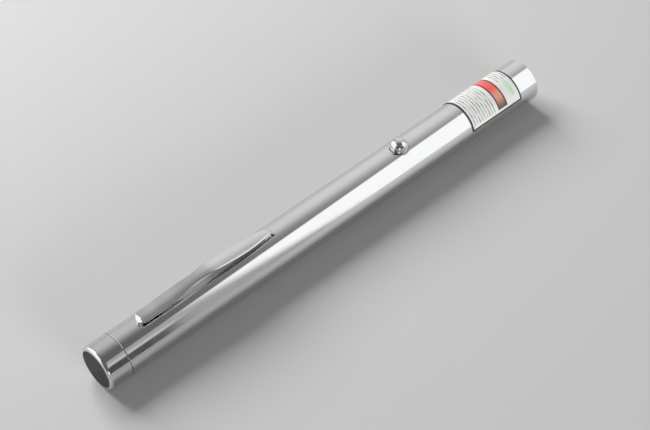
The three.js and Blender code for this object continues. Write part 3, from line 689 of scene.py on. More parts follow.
# %% [markdown]
# ## The barrel
#
# The barrel is a drawn tube: on the outside a plain mirror cylinder, with a hole for the button and
# a slot for the clip's foot. Each opening could be modelled face by face, but a Boolean modifier
# cuts it in one step. It leaves many-sided faces next to the cut, and those shade badly on a mirror
# unless the normals are put right, so afterwards each corner that still lies on the turned surface
# gets its exact normal back.

# %% Cutting
def cut(piece, cutter_mesh):
    """Cuts a shape out of a piece and keeps only the result."""
    cutter = add_object("cutter", cutter_mesh)
    modifier = piece.modifiers.new("cut", "BOOLEAN")
    modifier.operation = "DIFFERENCE"
    modifier.solver = "EXACT"
    modifier.object = cutter
    bpy.context.view_layer.update()
    evaluated = piece.evaluated_get(bpy.context.evaluated_depsgraph_get())
    piece.data = bpy.data.meshes.new_from_object(evaluated)
    piece.modifiers.clear()
    bpy.data.objects.remove(cutter)


def box_mesh(low, high):
    corners = [(x, y, z) for x in (low[0], high[0]) for y in (low[1], high[1]) for z in (low[2], high[2])]
    faces = [(0, 1, 3, 2), (4, 6, 7, 5), (0, 4, 5, 1), (2, 3, 7, 6), (0, 2, 6, 4), (1, 5, 7, 3)]
    return new_mesh("cutter", corners, faces, smooth=False)


button_low, button_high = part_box("button_cap")
button_x = (button_low.x + button_high.x) / 2
print("button's place along the pen, mm:", round(button_x / MM, 2))

# %% Exact normals again
NEAR = 0.01 * MM
FAR = 1000 * MM
FACING = 0.99
CUT_ANGLE = math.radians(30)


def face_line(face, starts, run, length, outward):
    """Which line of the outline a face was turned from, or None for a face of a cut."""
    centre = np.array(face.center)
    spoke = centre[1:] / np.linalg.norm(centre[1:])
    here = np.array([centre[0], centre[1:] @ spoke])
    facing = np.array([face.normal[0], np.array(face.normal[1:]) @ spoke])
    share = np.clip(np.sum((here - starts) * run, axis=1) / length**2, 0, 1)
    off = np.linalg.norm(starts + run * share[:, None] - here, axis=1)
    off[outward @ facing < FACING] = FAR
    return off.argmin() if off.min() <= NEAR else None


def restore_turned_normals(mesh, outline):
    """Gives the exact normal to each corner on a surface turned about the pen's axis."""
    places, before, after = outline
    starts, ends = places, np.roll(places, -1, axis=0)
    run = ends - starts
    length = np.linalg.norm(run, axis=1)
    real = length > NOTHING
    leaving, arriving = after[real], np.roll(before, -1, axis=0)[real]
    starts, run, length = starts[real], run[real], length[real]
    outward = np.stack([run[:, 1], -run[:, 0]], axis=1) / length[:, None]
    normals = np.zeros((len(mesh.loops), 3))
    for face in mesh.polygons:
        line = face_line(face, starts, run, length, outward)
        if line is None:
            continue
        for loop in face.loop_indices:
            point = np.array(mesh.vertices[mesh.loops[loop].vertex_index].co)
            radius = np.linalg.norm(point[1:])
            flat = np.array([point[0], radius]) - starts[line]
            share = np.clip(flat @ run[line] / length[line]**2, 0, 1)
            normal = leaving[line] * (1 - share) + arriving[line] * share
            normals[loop] = (normal[0], *(normal[1] * point[1:] / radius))
    mesh.set_sharp_from_angle(angle=CUT_ANGLE)
    mesh.polygons.foreach_set("use_smooth", [True] * len(mesh.polygons))
    set_normals(mesh, normals)


print("a face counts as turned within", round(math.degrees(math.acos(FACING)), 1), "degrees")

# %% [markdown]
# The seam between the tube and the cap is a hair line on the real pen. So the small chamfer at the
# tube's end is drawn in towards its corner before it is turned, and so is the cap's later on.

# %% Barrel
BARREL_SIDES = 192
BARREL_EDGE = 0.06 * MM
HOLE_REACH = 3.5 * MM
HOLE_SIDES = 160
SLOT_HALF_LENGTH = 0.475 * MM
SLOT_HALF_WIDTH = 1.15 * MM
SLOT_FLOOR_SHARE = 0.75
CUTTER_TOP_SHARE = 1.2
CLIP_ROOT = 58.9 * MM
CHAMFER_REACH = 0.25 * MM
CHAMFER_SHARE = 0.4


def fine_chamfer(points, along):
    """Draws a chamfer's two ends in towards the sharp corner that it cuts."""
    corner = np.array([along, barrel_radius])
    near = np.linalg.norm(points - corner, axis=1) < CHAMFER_REACH
    points[near] = corner + (points[near] - corner) * CHAMFER_SHARE
    return points


def make_barrel():
    points, closed = read_outline("barrel")
    points = fine_chamfer(points, points[:, 0].min())
    outline = soften(points, closed, BARREL_EDGE)
    tube = lathe_mesh("barrel_tube", outline, closed, BARREL_SIDES)
    barrel = show("barrel_tube", tube, "pen", "chrome_plate", "barrel")
    top = barrel_radius * CUTTER_TOP_SHARE
    hole = np.array([(0, 0), (0, HOLE_REACH), (top, HOLE_REACH), (top, 0)])
    cut(barrel, lathe_mesh("cutter", soften(hole, False, 0), False, HOLE_SIDES, "Z", (button_x, 0, 0)))
    slot_low = (CLIP_ROOT - SLOT_HALF_LENGTH, -SLOT_HALF_WIDTH, barrel_radius * SLOT_FLOOR_SHARE)
    cut(barrel, box_mesh(slot_low, (CLIP_ROOT + SLOT_HALF_LENGTH, SLOT_HALF_WIDTH, top)))
    restore_turned_normals(barrel.data, outline)
    return barrel


barrel = make_barrel()
print("barrel faces:", len(barrel.data.polygons))

# %% [markdown]
# The edge of the button's hole is polished round, and on the real tube that soft rim follows the
# curve of the tube, high at its ends and low at its sides. A Bevel modifier would trip over the
# narrow faces that the Boolean left. So the hole above is cut larger, and a ring is laid into it:
# its top starts flush with the tube, rolls over in a quarter of an ellipse and drops into the hole.

# %% Button hole rim
BUTTON_HOLE_GAP = 0.07 * MM
RIM_WIDTH = 0.40 * MM
RIM_DEPTH = 0.26 * MM
RIM_STEPS = 10
RIM_SHARP = math.radians(50)
button_outline, _ = read_outline("button_cap", "Z")
hole_radius = button_outline[button_outline[:, 0] > barrel_radius][:, 1].max() + BUTTON_HOLE_GAP
bore_radius = read_outline("barrel")[0][:, 1].min()


def rim_section():
    """The rim's outline as (distance from the hole's axis, drop below the tube, tilt inward)."""
    section = [(HOLE_REACH, 0.0, 0.0)]
    for turn in np.linspace(0, math.pi / 2, RIM_STEPS + 1):
        reach = hole_radius + RIM_WIDTH * (1 - math.sin(turn))
        tilt = math.atan2(RIM_DEPTH * math.sin(turn), RIM_WIDTH * math.cos(turn))
        section.append((reach, RIM_DEPTH * (1 - math.cos(turn)), tilt))
    return section


def rim_spoke(section, outward):
    """One section of the rim, from the tube down to the bore, with the normals of its shown part."""
    vertices, normals = [], []
    for reach, drop, tilt in section:
        x, y = button_x + reach * outward.x, reach * outward.y
        height = math.sqrt(barrel_radius**2 - y**2)
        vertices.append((x, y, height - drop))
        tube = Vector((0, y, height)).normalized()
        inward = -(outward - tube * outward.dot(tube)).normalized()
        normals.append(tube * math.cos(tilt) + inward * math.sin(tilt))
    for reach in (hole_radius, HOLE_REACH):
        x, y = button_x + reach * outward.x, reach * outward.y
        vertices.append((x, y, math.sqrt(bore_radius**2 - y**2)))
        normals.append(Vector((0, 0, 0)))
    return vertices, normals


def make_hole_rim():
    section = rim_section()
    vertices, normals = [], []
    for angle in np.arange(HOLE_SIDES) * FULL_TURN / HOLE_SIDES:
        spoke = rim_spoke(section, Vector((math.cos(angle), math.sin(angle), 0)))
        vertices += spoke[0]
        normals += spoke[1]
    count = len(section) + 2
    faces, corners = [], []
    for side in range(HOLE_SIDES):
        here, following = side * count, (side + 1) % HOLE_SIDES * count
        for j in range(count):
            k = (j + 1) % count
            quad = (following + j, following + k, here + k, here + j)
            faces.append(quad)
            shown = j < k < len(section)
            corners.extend(normals[index] if shown else Vector((0, 0, 0)) for index in quad)
    mesh = new_mesh("button_hole_rim", vertices, faces)
    mesh.set_sharp_from_angle(angle=RIM_SHARP)
    set_normals(mesh, corners)
    return show("button_hole_rim", mesh, "pen", "chrome_plate")


hole_rim = make_hole_rim()
print("hole radius, mm:", round(hole_radius / MM, 3), "rim faces:", len(hole_rim.data.polygons))

# %% [markdown]
# ## The tail cap and its thread
#
# The cap is a turned cup with a rounded rim. Its face is left satin, and its spigot carries the
# screw thread that holds it in the barrel: the pitch is what the joint says, the feed for each
# turn. A thread can be a Screw modifier on a tooth outline, but then it has to be joined to the
# plain spigot. It is simpler to make the spigot of many thin rings and pull each point in by the
# thread's depth at its own angle.

# %% Thread
THREAD_START, THREAD_END = 7.5 * MM, 10.55 * MM
THREAD_DEPTH = 0.32 * MM
THREAD_FLAT = 0.12
THREAD_ROWS_PER_TURN = 16
THREAD_RUN_OUT = 0.35 * MM
pitch = FULL_TURN * frame["record"]["behaviour"]["couplings"][0]["ratio"]


def add_thread_rows(outline, radius):
    """Puts extra rings into the straight stretch of an outline where the thread will run."""
    places, before, after = outline
    along = places[:, 0]
    on_spigot = np.abs(places[:, 1] - radius) < SAME
    index = np.flatnonzero(on_spigot & (along > THREAD_START - NEAR) & (along < THREAD_END + NEAR))
    low, high = index.min(), index.max()
    count = math.ceil(abs(along[high] - along[low]) / (pitch / THREAD_ROWS_PER_TURN))
    rows = np.linspace(places[low], places[high], count + 1)[1:-1]
    flat = np.tile(after[low], (len(rows), 1))
    return (np.vstack([places[:high], rows, places[high:]]),
            np.vstack([before[:high], flat, before[high:]]),
            np.vstack([after[:high], flat, after[high:]]))


def cut_thread(mesh, radius):
    """Pulls the rings of the spigot into a right-hand thread and frees their normals."""
    points = np.array([vertex.co for vertex in mesh.vertices])
    along, distance = points[:, 0], np.hypot(points[:, 1], points[:, 2])
    angle = np.arctan2(points[:, 2], points[:, 1])
    phase = np.mod(along / pitch - angle / FULL_TURN, 1)
    flank = np.clip((1 - np.abs(2 * phase - 1) - THREAD_FLAT) / (1 - 2 * THREAD_FLAT), 0, 1)
    fade = np.clip(np.minimum(along - THREAD_START, THREAD_END - along) / THREAD_RUN_OUT, 0, 1)
    threaded = (np.abs(distance - radius) < NEAR) & (fade > 0)
    scale = np.where(threaded, (radius - THREAD_DEPTH * flank * fade) / np.maximum(distance, MM), 1)
    normals = np.array([corner.vector for corner in mesh.corner_normals])
    loops = np.array([loop.vertex_index for loop in mesh.loops])
    normals[threaded[loops]] = 0
    for vertex, share in zip(mesh.vertices, scale):
        vertex.co.y *= share
        vertex.co.z *= share
    set_normals(mesh, normals)


print("thread pitch, mm:", round(pitch / MM, 3))

# %% Tail cap
CAP_EDGE = 0.06 * MM
CAP_SIDES = 128
TAIL_FACING = 0.93


def make_tail_cap():
    points, closed = read_outline("tail_cap")
    points = fine_chamfer(points, points[points[:, 1] > barrel_radius - CHAMFER_REACH, 0].max())
    spigot = max(radius for along, radius in points if along > THREAD_START)
    outline = add_thread_rows(soften(points, closed, CAP_EDGE), spigot)
    mesh = lathe_mesh("tail_cap_shell", outline, closed, CAP_SIDES)
    cut_thread(mesh, spigot)
    mesh.materials.append(materials["chrome_plate"])
    mesh.materials.append(materials["tail_face"])
    # The flat end face gets the tail_face finish, whose near-black colour is a painted dark reflection
    for face in mesh.polygons:
        face.material_index = int(face.normal.x < -TAIL_FACING and face.center.x < NEAR)
    return show("tail_cap_shell", mesh, "cap", "chrome_plate", "tail_cap")


tail_cap = make_tail_cap()
print("tail cap faces:", len(tail_cap.data.polygons))

# %% [markdown]
# ## The other turned pieces
#
# Everything else that came off a lathe, or is round for another reason, is made by the same three
# steps: read the outline, soften it, sweep it. Only the button gets a little more: the two bright
# spots on the real one sit far out, so its dome is flatter on top and rounder at the shoulder than
# an ellipse. A superellipse has that fullness.

# %% Turned pieces
DOME_FULLNESS = 2.5
TURNED_SIDES = 96
BUTTON_SIDES = 128
STEM_SIDES = 48
# The radius of each piece's edges in mm
BUTTON_EDGE = 0.08
STEM_EDGE = 0.05
CELL_EDGES = {"can": 0.15, "nub": 0.08, "insulator": 0.04}
TURNED = {
    "nose_ring": 0.06, "aperture_window": 0.04, "contact_plate": 0.05, "module_body": 0.08,
    "diode_retainer": 0.06, "lens_cell": 0.08, "collimating_lens": 0.03, "expander_lens": 0.02,
    **{f"cell_{number}_{part}": edge for number in (1, 2) for part, edge in CELL_EDGES.items()},
}


def fuller_dome(points):
    """Swells the button's dome between its rim and its top, which both stay where they are."""
    above = points[points[:, 0] > barrel_radius]
    rim = above[above[:, 1].argmax()]
    rise = points[:, 0].max() - rim[0]
    dome = points[:, 0] > rim[0]
    swell = 2 / DOME_FULLNESS
    points[dome, 0] = rim[0] + rise * ((points[dome, 0] - rim[0]) / rise)**swell
    points[dome, 1] = rim[1] * (points[dome, 1] / rim[1])**swell
    return points


def make_turned(node, edge, axis="X", sides=TURNED_SIDES, centre=(0, 0, 0), shape=None):
    points, closed = read_outline(node, axis)
    points = shape(points) if shape else points
    mesh = lathe_mesh(node + "_turned", soften(points, closed, edge * MM), closed, sides, axis, centre)
    show(node + "_turned", mesh, body_of(node), slot_of(node), node)


for node, edge in TURNED.items():
    make_turned(node, edge)
upright = (button_x, 0, 0)
make_turned("button_cap", BUTTON_EDGE, "Z", BUTTON_SIDES, upright, fuller_dome)
make_turned("switch_stem", STEM_EDGE, "Z", STEM_SIDES, upright)
print("turned pieces:", len(TURNED) + 2)

# %% [markdown]
# ## The pocket clip
#
# The clip is stamped from spring strip, waisted in the middle, bent up off the barrel and rolled
# down again at its lip. In section it is slightly crowned, with soft edges. A subdivision surface
# on a rough cage would be quick, but its edges would all be equally soft. Sweeping a section along
# a smooth centre line gives crisp, even edges and smooth reflections.
#
# The centre line runs from the lip to the foot. A cubic spline with matched curvature goes through
# a few chosen points, because a chrome surface shows any jump in curvature as a kink.

# %% Clip centre line
CLIP_TIP = 13.95 * MM
CLIP_LENGTH = CLIP_ROOT - CLIP_TIP
CLIP_HALF_WIDTH = 2.25 * MM
CLIP_HALF_THICK = 0.325 * MM
CLIP_RISE = 3.4 * MM
ROLL_RADIUS = 1.1 * MM
ROLL_RISE = 0.22 * MM
ROLL_ANGLES = [math.radians(angle) for angle in (0, 15, 30, 45, 60, 75, 85)]
BEND_RADIUS = 0.7 * MM
BEND_LIFT = 0.4 * MM
BEND_ANGLES = [math.radians(angle) for angle in (58, 40, 20, 0)]
LEG_HALF_WIDTH = 1.0 * MM
CLIP_FOOT = 5.6 * MM
# Place along the clip, half width and height of the top, as shares of its length, width and rise
STRIP_SHARES = [
    (0.142, 1.000, 0.580), (0.205, 1.000, 0.635), (0.272, 0.975, 0.695), (0.340, 0.875, 0.790),
    (0.405, 0.745, 0.900), (0.475, 0.810, 0.980), (0.540, 0.900, 1.000), (0.615, 0.970, 0.930),
    (0.695, 0.995, 0.850), (0.780, 0.975, 0.760), (0.860, 0.850, 0.700), (0.930, 0.680, 0.640),
    (0.968, 0.540, 0.560),
]


def clip_guide():
    """The chosen points of the centre line: along, half width, height."""
    guide = []
    for angle in ROLL_ANGLES:
        x = CLIP_TIP + CLIP_HALF_THICK + ROLL_RADIUS * (1 - math.cos(angle))
        guide.append((x, CLIP_HALF_WIDTH, barrel_radius + ROLL_RISE + ROLL_RADIUS * math.sin(angle)))
    for along, width, rise in STRIP_SHARES:
        height = barrel_radius + CLIP_RISE * rise - CLIP_HALF_THICK
        guide.append((CLIP_TIP + CLIP_LENGTH * along, CLIP_HALF_WIDTH * width, height))
    bend_z = barrel_radius + BEND_LIFT
    for angle in BEND_ANGLES:
        x = CLIP_ROOT - BEND_RADIUS * (1 - math.cos(angle))
        guide.append((x, LEG_HALF_WIDTH, bend_z + BEND_RADIUS * math.sin(angle)))
    for height in ((bend_z + CLIP_FOOT) / 2, CLIP_FOOT):
        guide.append((CLIP_ROOT, LEG_HALF_WIDTH, height))
    return np.array(guide)


print("guide points of the clip:", len(clip_guide()))

# %% Spline through the guide
CLIP_STEPS = 420


def spline_through(points, count):
    """A natural cubic spline through the points, sampled evenly by distance."""
    knots = np.concatenate([[0], np.cumsum(np.linalg.norm(np.diff(points, axis=0), axis=1))])
    gaps = np.diff(knots)
    slopes = np.diff(points, axis=0) / gaps[:, None]
    size = len(points)
    system = np.eye(size)
    wanted = np.zeros_like(points)
    for i in range(1, size - 1):
        system[i, i - 1:i + 2] = gaps[i - 1], 2 * (gaps[i - 1] + gaps[i]), gaps[i]
        wanted[i] = 6 * (slopes[i] - slopes[i - 1])
    bends = np.linalg.solve(system, wanted)
    at = np.linspace(0, knots[-1], count)
    span = np.clip(np.searchsorted(knots, at, side="right") - 1, 0, size - 2)
    gap = gaps[span][:, None]
    right = (at - knots[span])[:, None] / gap
    left = 1 - right
    curve = left * points[span] + right * points[span + 1]
    return curve + gap**2 / 6 * ((left**3 - left) * bends[span] + (right**3 - right) * bends[span + 1])


clip_line = spline_through(clip_guide(), CLIP_STEPS)
print("clip centre line, mm:", round(np.linalg.norm(np.diff(clip_line, axis=0), axis=1).sum() / MM, 1))

# %% [markdown]
# The section is swept next. Towards the lip the width follows a round tongue, and at the lip itself
# the last few sections shrink, so that the end is rounded like the sides.

# %% Clip sections
TONGUE_RADIUS = 2.25 * MM
LIP_HALF_WIDTH = 0.55 * MM
CLIP_CROWN = 0.40 * MM
CLIP_EDGE = 0.3 * MM
CLIP_SHOULDER = 0.5 * MM
EDGE_ROOM = 0.95
ACROSS_STEPS = 14
EDGE_STEPS = 7
LIP_STEPS = 5


def clip_section(half_width, half_thick):
    """The strip's section as (across, lift) points, anticlockwise from the +Y edge of the top."""
    crown = CLIP_CROWN * (half_width / CLIP_HALF_WIDTH)**2
    edge = min(CLIP_EDGE, half_thick * EDGE_ROOM)
    shoulder = min(CLIP_SHOULDER, half_width * CORNER_ROOM)
    flat = half_width - shoulder
    low = crown * (flat / half_width)**2
    ring = []
    for side in (1, -1):
        for across in np.linspace(flat, -flat, ACROSS_STEPS):
            ring.append((side * across, side * half_thick - crown * (across / half_width)**2))
        for corner, turn in ((1, 0), (-1, 1)):
            for step in range(1, EDGE_STEPS):
                angle = math.pi / 2 * (turn + step / EDGE_STEPS)
                across = flat + shoulder * math.sin(angle)
                lift = corner * (half_thick - edge) + edge * math.cos(angle)
                ring.append((-side * across, side * lift - low))
            if corner == 1:
                ring.append((-side * half_width, side * (half_thick - edge) - low))
                ring.append((-side * half_width, -side * (half_thick - edge) - low))
    return ring


def lip_stations(x, z, slope, half_width):
    """The sections that shrink at the lip, from the outermost inward."""
    stations = []
    for step in range(LIP_STEPS, 0, -1):
        turn = math.pi / 2 * step / LIP_STEPS
        inset = CLIP_EDGE * (1 - math.cos(turn))
        ahead = CLIP_EDGE * math.sin(turn)
        stations.append((x - ahead * math.cos(slope), z - ahead * math.sin(slope), slope,
                         half_width - inset, CLIP_HALF_THICK - inset))
    return stations


def clip_stations():
    """Each section's centre, slope, half width and half thickness, from the lip to the foot."""
    tangent = np.gradient(clip_line[:, [0, 2]], axis=0)
    slopes = np.unwrap(np.arctan2(tangent[:, 1], tangent[:, 0]))
    stations = []
    for (x, half_width, z), slope in zip(clip_line, slopes):
        left = max(TONGUE_RADIUS - (x - CLIP_HALF_THICK * math.sin(slope) - CLIP_TIP), 0)
        if left > 0:
            tongue = math.sqrt(max(TONGUE_RADIUS**2 - left**2, 0)) * CLIP_HALF_WIDTH / TONGUE_RADIUS
            half_width = min(half_width, max(tongue, LIP_HALF_WIDTH))
        stations.append((x, z, slope, half_width, CLIP_HALF_THICK))
    return lip_stations(*stations[0][:4]) + stations


print("clip sections:", len(clip_stations()))

# %% Clip surface
def make_clip():
    rings = []
    for x, z, slope, half_width, half_thick in clip_stations():
        rings.append([(x - lift * math.sin(slope), across, z + lift * math.cos(slope))
                      for across, lift in clip_section(half_width, half_thick)])
    count = len(rings[0])
    last = (len(rings) - 1) * count
    faces = []
    for low in range(0, last, count):
        for j in range(count):
            k = (j + 1) % count
            faces.append((low + j, low + k, low + count + k, low + count + j))
    ends = [tuple(reversed(range(count))), tuple(range(last, last + count))]
    mesh = new_mesh("clip_strip", [point for ring in rings for point in ring], faces + ends)
    mesh.polygons.foreach_set("use_smooth", [True] * len(faces) + [False] * len(ends))
    clip = show("clip_strip", mesh, "clip", "chrome_plate", "pocket_clip")
    clip.modifiers.new("even shading", "WEIGHTED_NORMAL").keep_sharp = True
    return clip


clip = make_clip()
clip_low = min(vertex.co.x for vertex in clip.data.vertices)
print("clip faces:", len(clip.data.polygons), "tip, mm:", round(clip_low / MM, 2))

# %% [markdown]
# ## The label
#
# The label is printed film, wrapped over the top of the tube and cut with small round corners. It
# could be a picture on the tube, but then it would have no edge of its own. So its mesh is a thin
# curved skin whose UV map is in millimetres: U runs along the pen and V runs round it, both from
# the label's middle. The print is then drawn by the material with plain distances, so each line has
# a real width.

# %% Label skin
LABEL_CORNER = 0.35 * MM
CORNER_COLUMNS = 9
MIDDLE_COLUMNS = 81
FILM_SHARP = math.radians(40)
label_low, label_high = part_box("label")
label_radii = [math.hypot(v.co.y, v.co.z) for v in frame["nodes"]["label"].data.vertices]
label_inner, label_outer = min(label_radii), max(label_radii)
label_half_arc = math.acos(label_low.z / label_inner) * barrel_radius
label_half_length = (label_high.x - label_low.x) / 2


def label_columns():
    """Distances round the tube from the label's middle line, closer together at the corners."""
    corner = LABEL_CORNER * (1 - np.cos(np.linspace(0, math.pi / 2, CORNER_COLUMNS)))
    reach = label_half_arc - LABEL_CORNER
    middle = np.linspace(-reach, reach, MIDDLE_COLUMNS)
    return np.concatenate([corner - label_half_arc, middle[1:-1], (label_half_arc - corner)[::-1]])


def make_label():
    middle = (label_low.x + label_high.x) / 2
    columns = label_columns()
    edge = np.maximum(LABEL_CORNER - (label_half_arc - np.abs(columns)), 0)
    inset = LABEL_CORNER - np.sqrt(np.maximum(LABEL_CORNER**2 - edge**2, 0))
    vertices, flat = [], []
    for arc, half in zip(columns, label_half_length - inset):
        angle = arc / barrel_radius
        for radius, side in ((label_outer, -1), (label_outer, 1), (label_inner, 1), (label_inner, -1)):
            vertices.append((middle + side * half, -radius * math.sin(angle), radius * math.cos(angle)))
            flat.append((side * half / MM, arc / MM))
    last = 4 * (len(columns) - 1)
    faces = []
    for here in range(0, last, 4):
        faces += [(here + k, here + (k + 1) % 4, here + 4 + (k + 1) % 4, here + 4 + k) for k in range(4)]
    faces += [(0, 3, 2, 1), (last, last + 1, last + 2, last + 3)]
    mesh = new_mesh("label_film", vertices, faces)
    uv = mesh.uv_layers.new(name="print")
    for loop in mesh.loops:
        uv.data[loop.index].uv = flat[loop.vertex_index]
    mesh.set_sharp_from_angle(angle=FILM_SHARP)
    return mesh


label_mesh = make_label()
print("label, mm:", round(2 * label_half_length / MM, 1), "by", round(2 * label_half_arc / MM, 1))

# %% [markdown]
# The print is generic: a dark border, one red band with dark edges that fades at its near end,
# plain ruled lines on either side of it and one pale green bar. Each is a mask made from the
# distance to its middle. Cheap printing is never even, so the rules' ink comes and goes.

# %% Print masks
PRINT_BLUR = 0.07
RULE_PITCH = 0.98
RULE_WIDTH = 0.34
INK_BREAKS = 0.9
INK_STRETCH = (1.7, 0.55)
INK_STEP = (0.36, 0.62)
INK_LEVELS = (0.25, 0.85)


def distance_to(tree, value, middle):
    return math_node(tree, "ABSOLUTE", math_node(tree, "SUBTRACT", value, middle))


def line_mask(tree, distance, half_width):
    """1 where the distance is under the half width, with the small blur of printing."""
    return ramp_between(tree, distance, half_width + PRINT_BLUR, half_width - PRINT_BLUR)


def area_mask(tree, along, round_it, start, end, low, high):
    """1 in an area from start to end along the pen and from low to high round it."""
    lengthwise = line_mask(tree, distance_to(tree, along, (start + end) / 2), (end - start) / 2)
    crosswise = line_mask(tree, distance_to(tree, round_it, (low + high) / 2), (high - low) / 2)
    return product(tree, lengthwise, crosswise)


def rules_mask(tree, along, start):
    """Thin lines round the tube, one for each pitch from the start on."""
    shifted = math_node(tree, "SUBTRACT", along, start + RULE_PITCH / 2)
    return line_mask(tree, math_node(tree, "PINGPONG", shifted, RULE_PITCH / 2), RULE_WIDTH / 2)


def uneven_ink(tree, along, round_it):
    """How much ink each rule took, changing along it and from one rule to the next."""
    place = add_node(tree, "ShaderNodeCombineXYZ")
    for target, value, stretch in zip(place.inputs, (along, round_it), INK_STRETCH):
        plug(tree, target, product(tree, value, stretch))
    breaks = noise(tree, place.outputs[0], INK_BREAKS, detail=3.0)
    return ramp_between(tree, breaks, *INK_STEP, *INK_LEVELS)


print("blur at the edge of a printed line, mm:", PRINT_BLUR)

# %% Print layers
RULE_INK = (0.13, 0.19, 0.17)
PALE_GREEN = (0.52, 0.83, 0.57)
BAND_RED = (0.86, 0.13, 0.11)
BAND_SALMON = (0.80, 0.36, 0.26)
BAND_FADED = (0.11, 0.085, 0.09)
BAND_EDGE_INK = (0.05, 0.012, 0.018)
BORDER_INK = (0.018, 0.020, 0.018)
# Start and end along the pen, lowest and highest place round it, in mm from the label's middle
RULED_AREAS = [(-9.0, -0.2, -7.9, 7.6), (5.3, 8.9, -7.9, 0.8)]
BAR_AREA = (6.75, 7.95, 0.9, 6.2)
BAR_STRENGTH = 0.8
BAND_MIDDLE, BAND_HALF = 2.55, 1.75
BAND_EDGE_WIDTH = 0.46
BAND_END = 7.75
BAND_RED_END = 0.8
BAND_SALMON_FROM = 4.0
BAND_FADED_FROM = BAND_END - 0.3
BORDER_WIDTH = 0.55
BORDER_ROUNDING = 0.5


def print_rules(tree, along, round_it, colour):
    ink = uneven_ink(tree, along, round_it)
    for area in RULED_AREAS:
        inked = area_mask(tree, along, round_it, *area)
        inked = product(tree, inked, rules_mask(tree, along, area[0]), ink)
        colour = mix(tree, inked, colour, shaded(RULE_INK))
    bar = product(tree, area_mask(tree, along, round_it, *BAR_AREA), BAR_STRENGTH)
    return mix(tree, bar, colour, shaded(PALE_GREEN))


def print_band(tree, along, round_it, colour):
    """The band goes from red through salmon to its faded end, and is dark at its two edges."""
    from_middle = distance_to(tree, along, BAND_MIDDLE)
    before_end = ramp_between(tree, round_it, BAND_END + PRINT_BLUR, BAND_END - PRINT_BLUR)
    band = product(tree, line_mask(tree, from_middle, BAND_HALF), before_end)
    salmon = ramp_between(tree, round_it, BAND_RED_END, BAND_SALMON_FROM)
    faded = ramp_between(tree, round_it, BAND_SALMON_FROM, BAND_FADED_FROM)
    tint = mix(tree, salmon, shaded(BAND_RED), shaded(BAND_SALMON))
    colour = mix(tree, band, colour, mix(tree, faded, tint, shaded(BAND_FADED)))
    core = line_mask(tree, from_middle, BAND_HALF - BAND_EDGE_WIDTH)
    edges = product(tree, band, math_node(tree, "SUBTRACT", 1.0, core))
    return mix(tree, edges, colour, shaded(BAND_EDGE_INK))


def print_border(tree, along, round_it, colour):
    to_end = math_node(tree, "SUBTRACT", label_half_length / MM, math_node(tree, "ABSOLUTE", along))
    to_side = math_node(tree, "SUBTRACT", label_half_arc / MM, math_node(tree, "ABSOLUTE", round_it))
    to_edge = math_node(tree, "SMOOTH_MIN", to_end, to_side, BORDER_ROUNDING)
    return mix(tree, line_mask(tree, to_edge, BORDER_WIDTH), colour, shaded(BORDER_INK))


print("ruled areas:", len(RULED_AREAS), "band, mm:", 2 * BAND_HALF, "border, mm:", BORDER_WIDTH)

# %% Label print
PAPER = (0.87, 0.87, 0.84)
PAPER_SHADES = (0.98, 1.02)
FILM_ROUGHNESS = 0.38
FILM_MARKS = (0.08, 0.05)
FILM_PEBBLE = 0.12
FILM_BUMP = 0.003 * MM


def make_print():
    material, tree, shader = new_material("sticker", Coat_Weight=0.35, Coat_Roughness=0.12)
    parts = add_node(tree, "ShaderNodeSeparateXYZ")
    plug(tree, parts.inputs[0], add_node(tree, "ShaderNodeUVMap", uv_map="print").outputs[0])
    along, round_it = parts.outputs["X"], parts.outputs["Y"]
    grain = use_group(tree, moulded_grain, Pebble=FILM_PEBBLE)
    colour = two_shades(tree, grain["Drift"], PAPER, *PAPER_SHADES)
    for layer in (print_rules, print_band, print_border):
        colour = layer(tree, along, round_it, colour)
    plug(tree, shader.inputs["Base Color"], colour)
    add_marks(tree, shader, FILM_ROUGHNESS, *FILM_MARKS)
    bump(tree, shader, grain["Height"], FILM_BUMP)
    return material


materials["sticker"] = make_print()
label = show("label_film", label_mesh, "pen", "sticker", "label")
print("label printed on", len(label.data.polygons), "faces")

# %% [markdown]
# ## The springs
#
# The three coil springs are drawn wire. A Screw modifier can sweep a circle into a coil, but a
# curve with a round bevel is the natural way to make wire: the line is the wire's centre, and the
# bevel gives its thickness. The first and last points lie on the spring's two end planes.

# %% Springs
STEPS_PER_TURN = 32
WIRE_ROUNDNESS = 3
# Wire, turns, radius at the tail end and radius at the head end, lengths in mm
SPRINGS = {
    "tail_spring": (0.6, 5, 3.7, 1.3),
    "contact_spring": (0.5, 2, 1.6, 2.7),
    "lens_spring": (0.5, 3, 3.7, 3.7),
}


def spring_path(node, wire, turns, start_radius, end_radius):
    low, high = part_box(node)
    start, end = low.x, high.x
    path = [(start, 0, start_radius)]
    for share in np.linspace(0, 1, round(turns * STEPS_PER_TURN) + 1):
        radius = start_radius + (end_radius - start_radius) * share
        angle = FULL_TURN * turns * share
        along = start + wire + (end - start - 2 * wire) * share
        path.append((along, radius * math.sin(angle), radius * math.cos(angle)))
    path.append((end, path[-1][1], path[-1][2]))
    return path


def make_spring(node, wire, turns, start_radius, end_radius):
    path = spring_path(node, wire, turns, start_radius, end_radius)
    curve = bpy.data.curves.new(node + "_wire", "CURVE")
    curve.dimensions = "3D"
    curve.bevel_depth = wire / 2
    curve.bevel_resolution = WIRE_ROUNDNESS
    curve.use_fill_caps = True
    line = curve.splines.new("POLY")
    line.points.add(len(path) - 1)
    for point, place in zip(line.points, path):
        point.co = (*place, 1)
    line.use_smooth = True
    show(node + "_wire", curve, body_of(node), slot_of(node), node)


for node, (wire, turns, start_radius, end_radius) in SPRINGS.items():
    make_spring(node, wire * MM, turns, start_radius * MM, end_radius * MM)
print("springs wound:", ", ".join(SPRINGS))
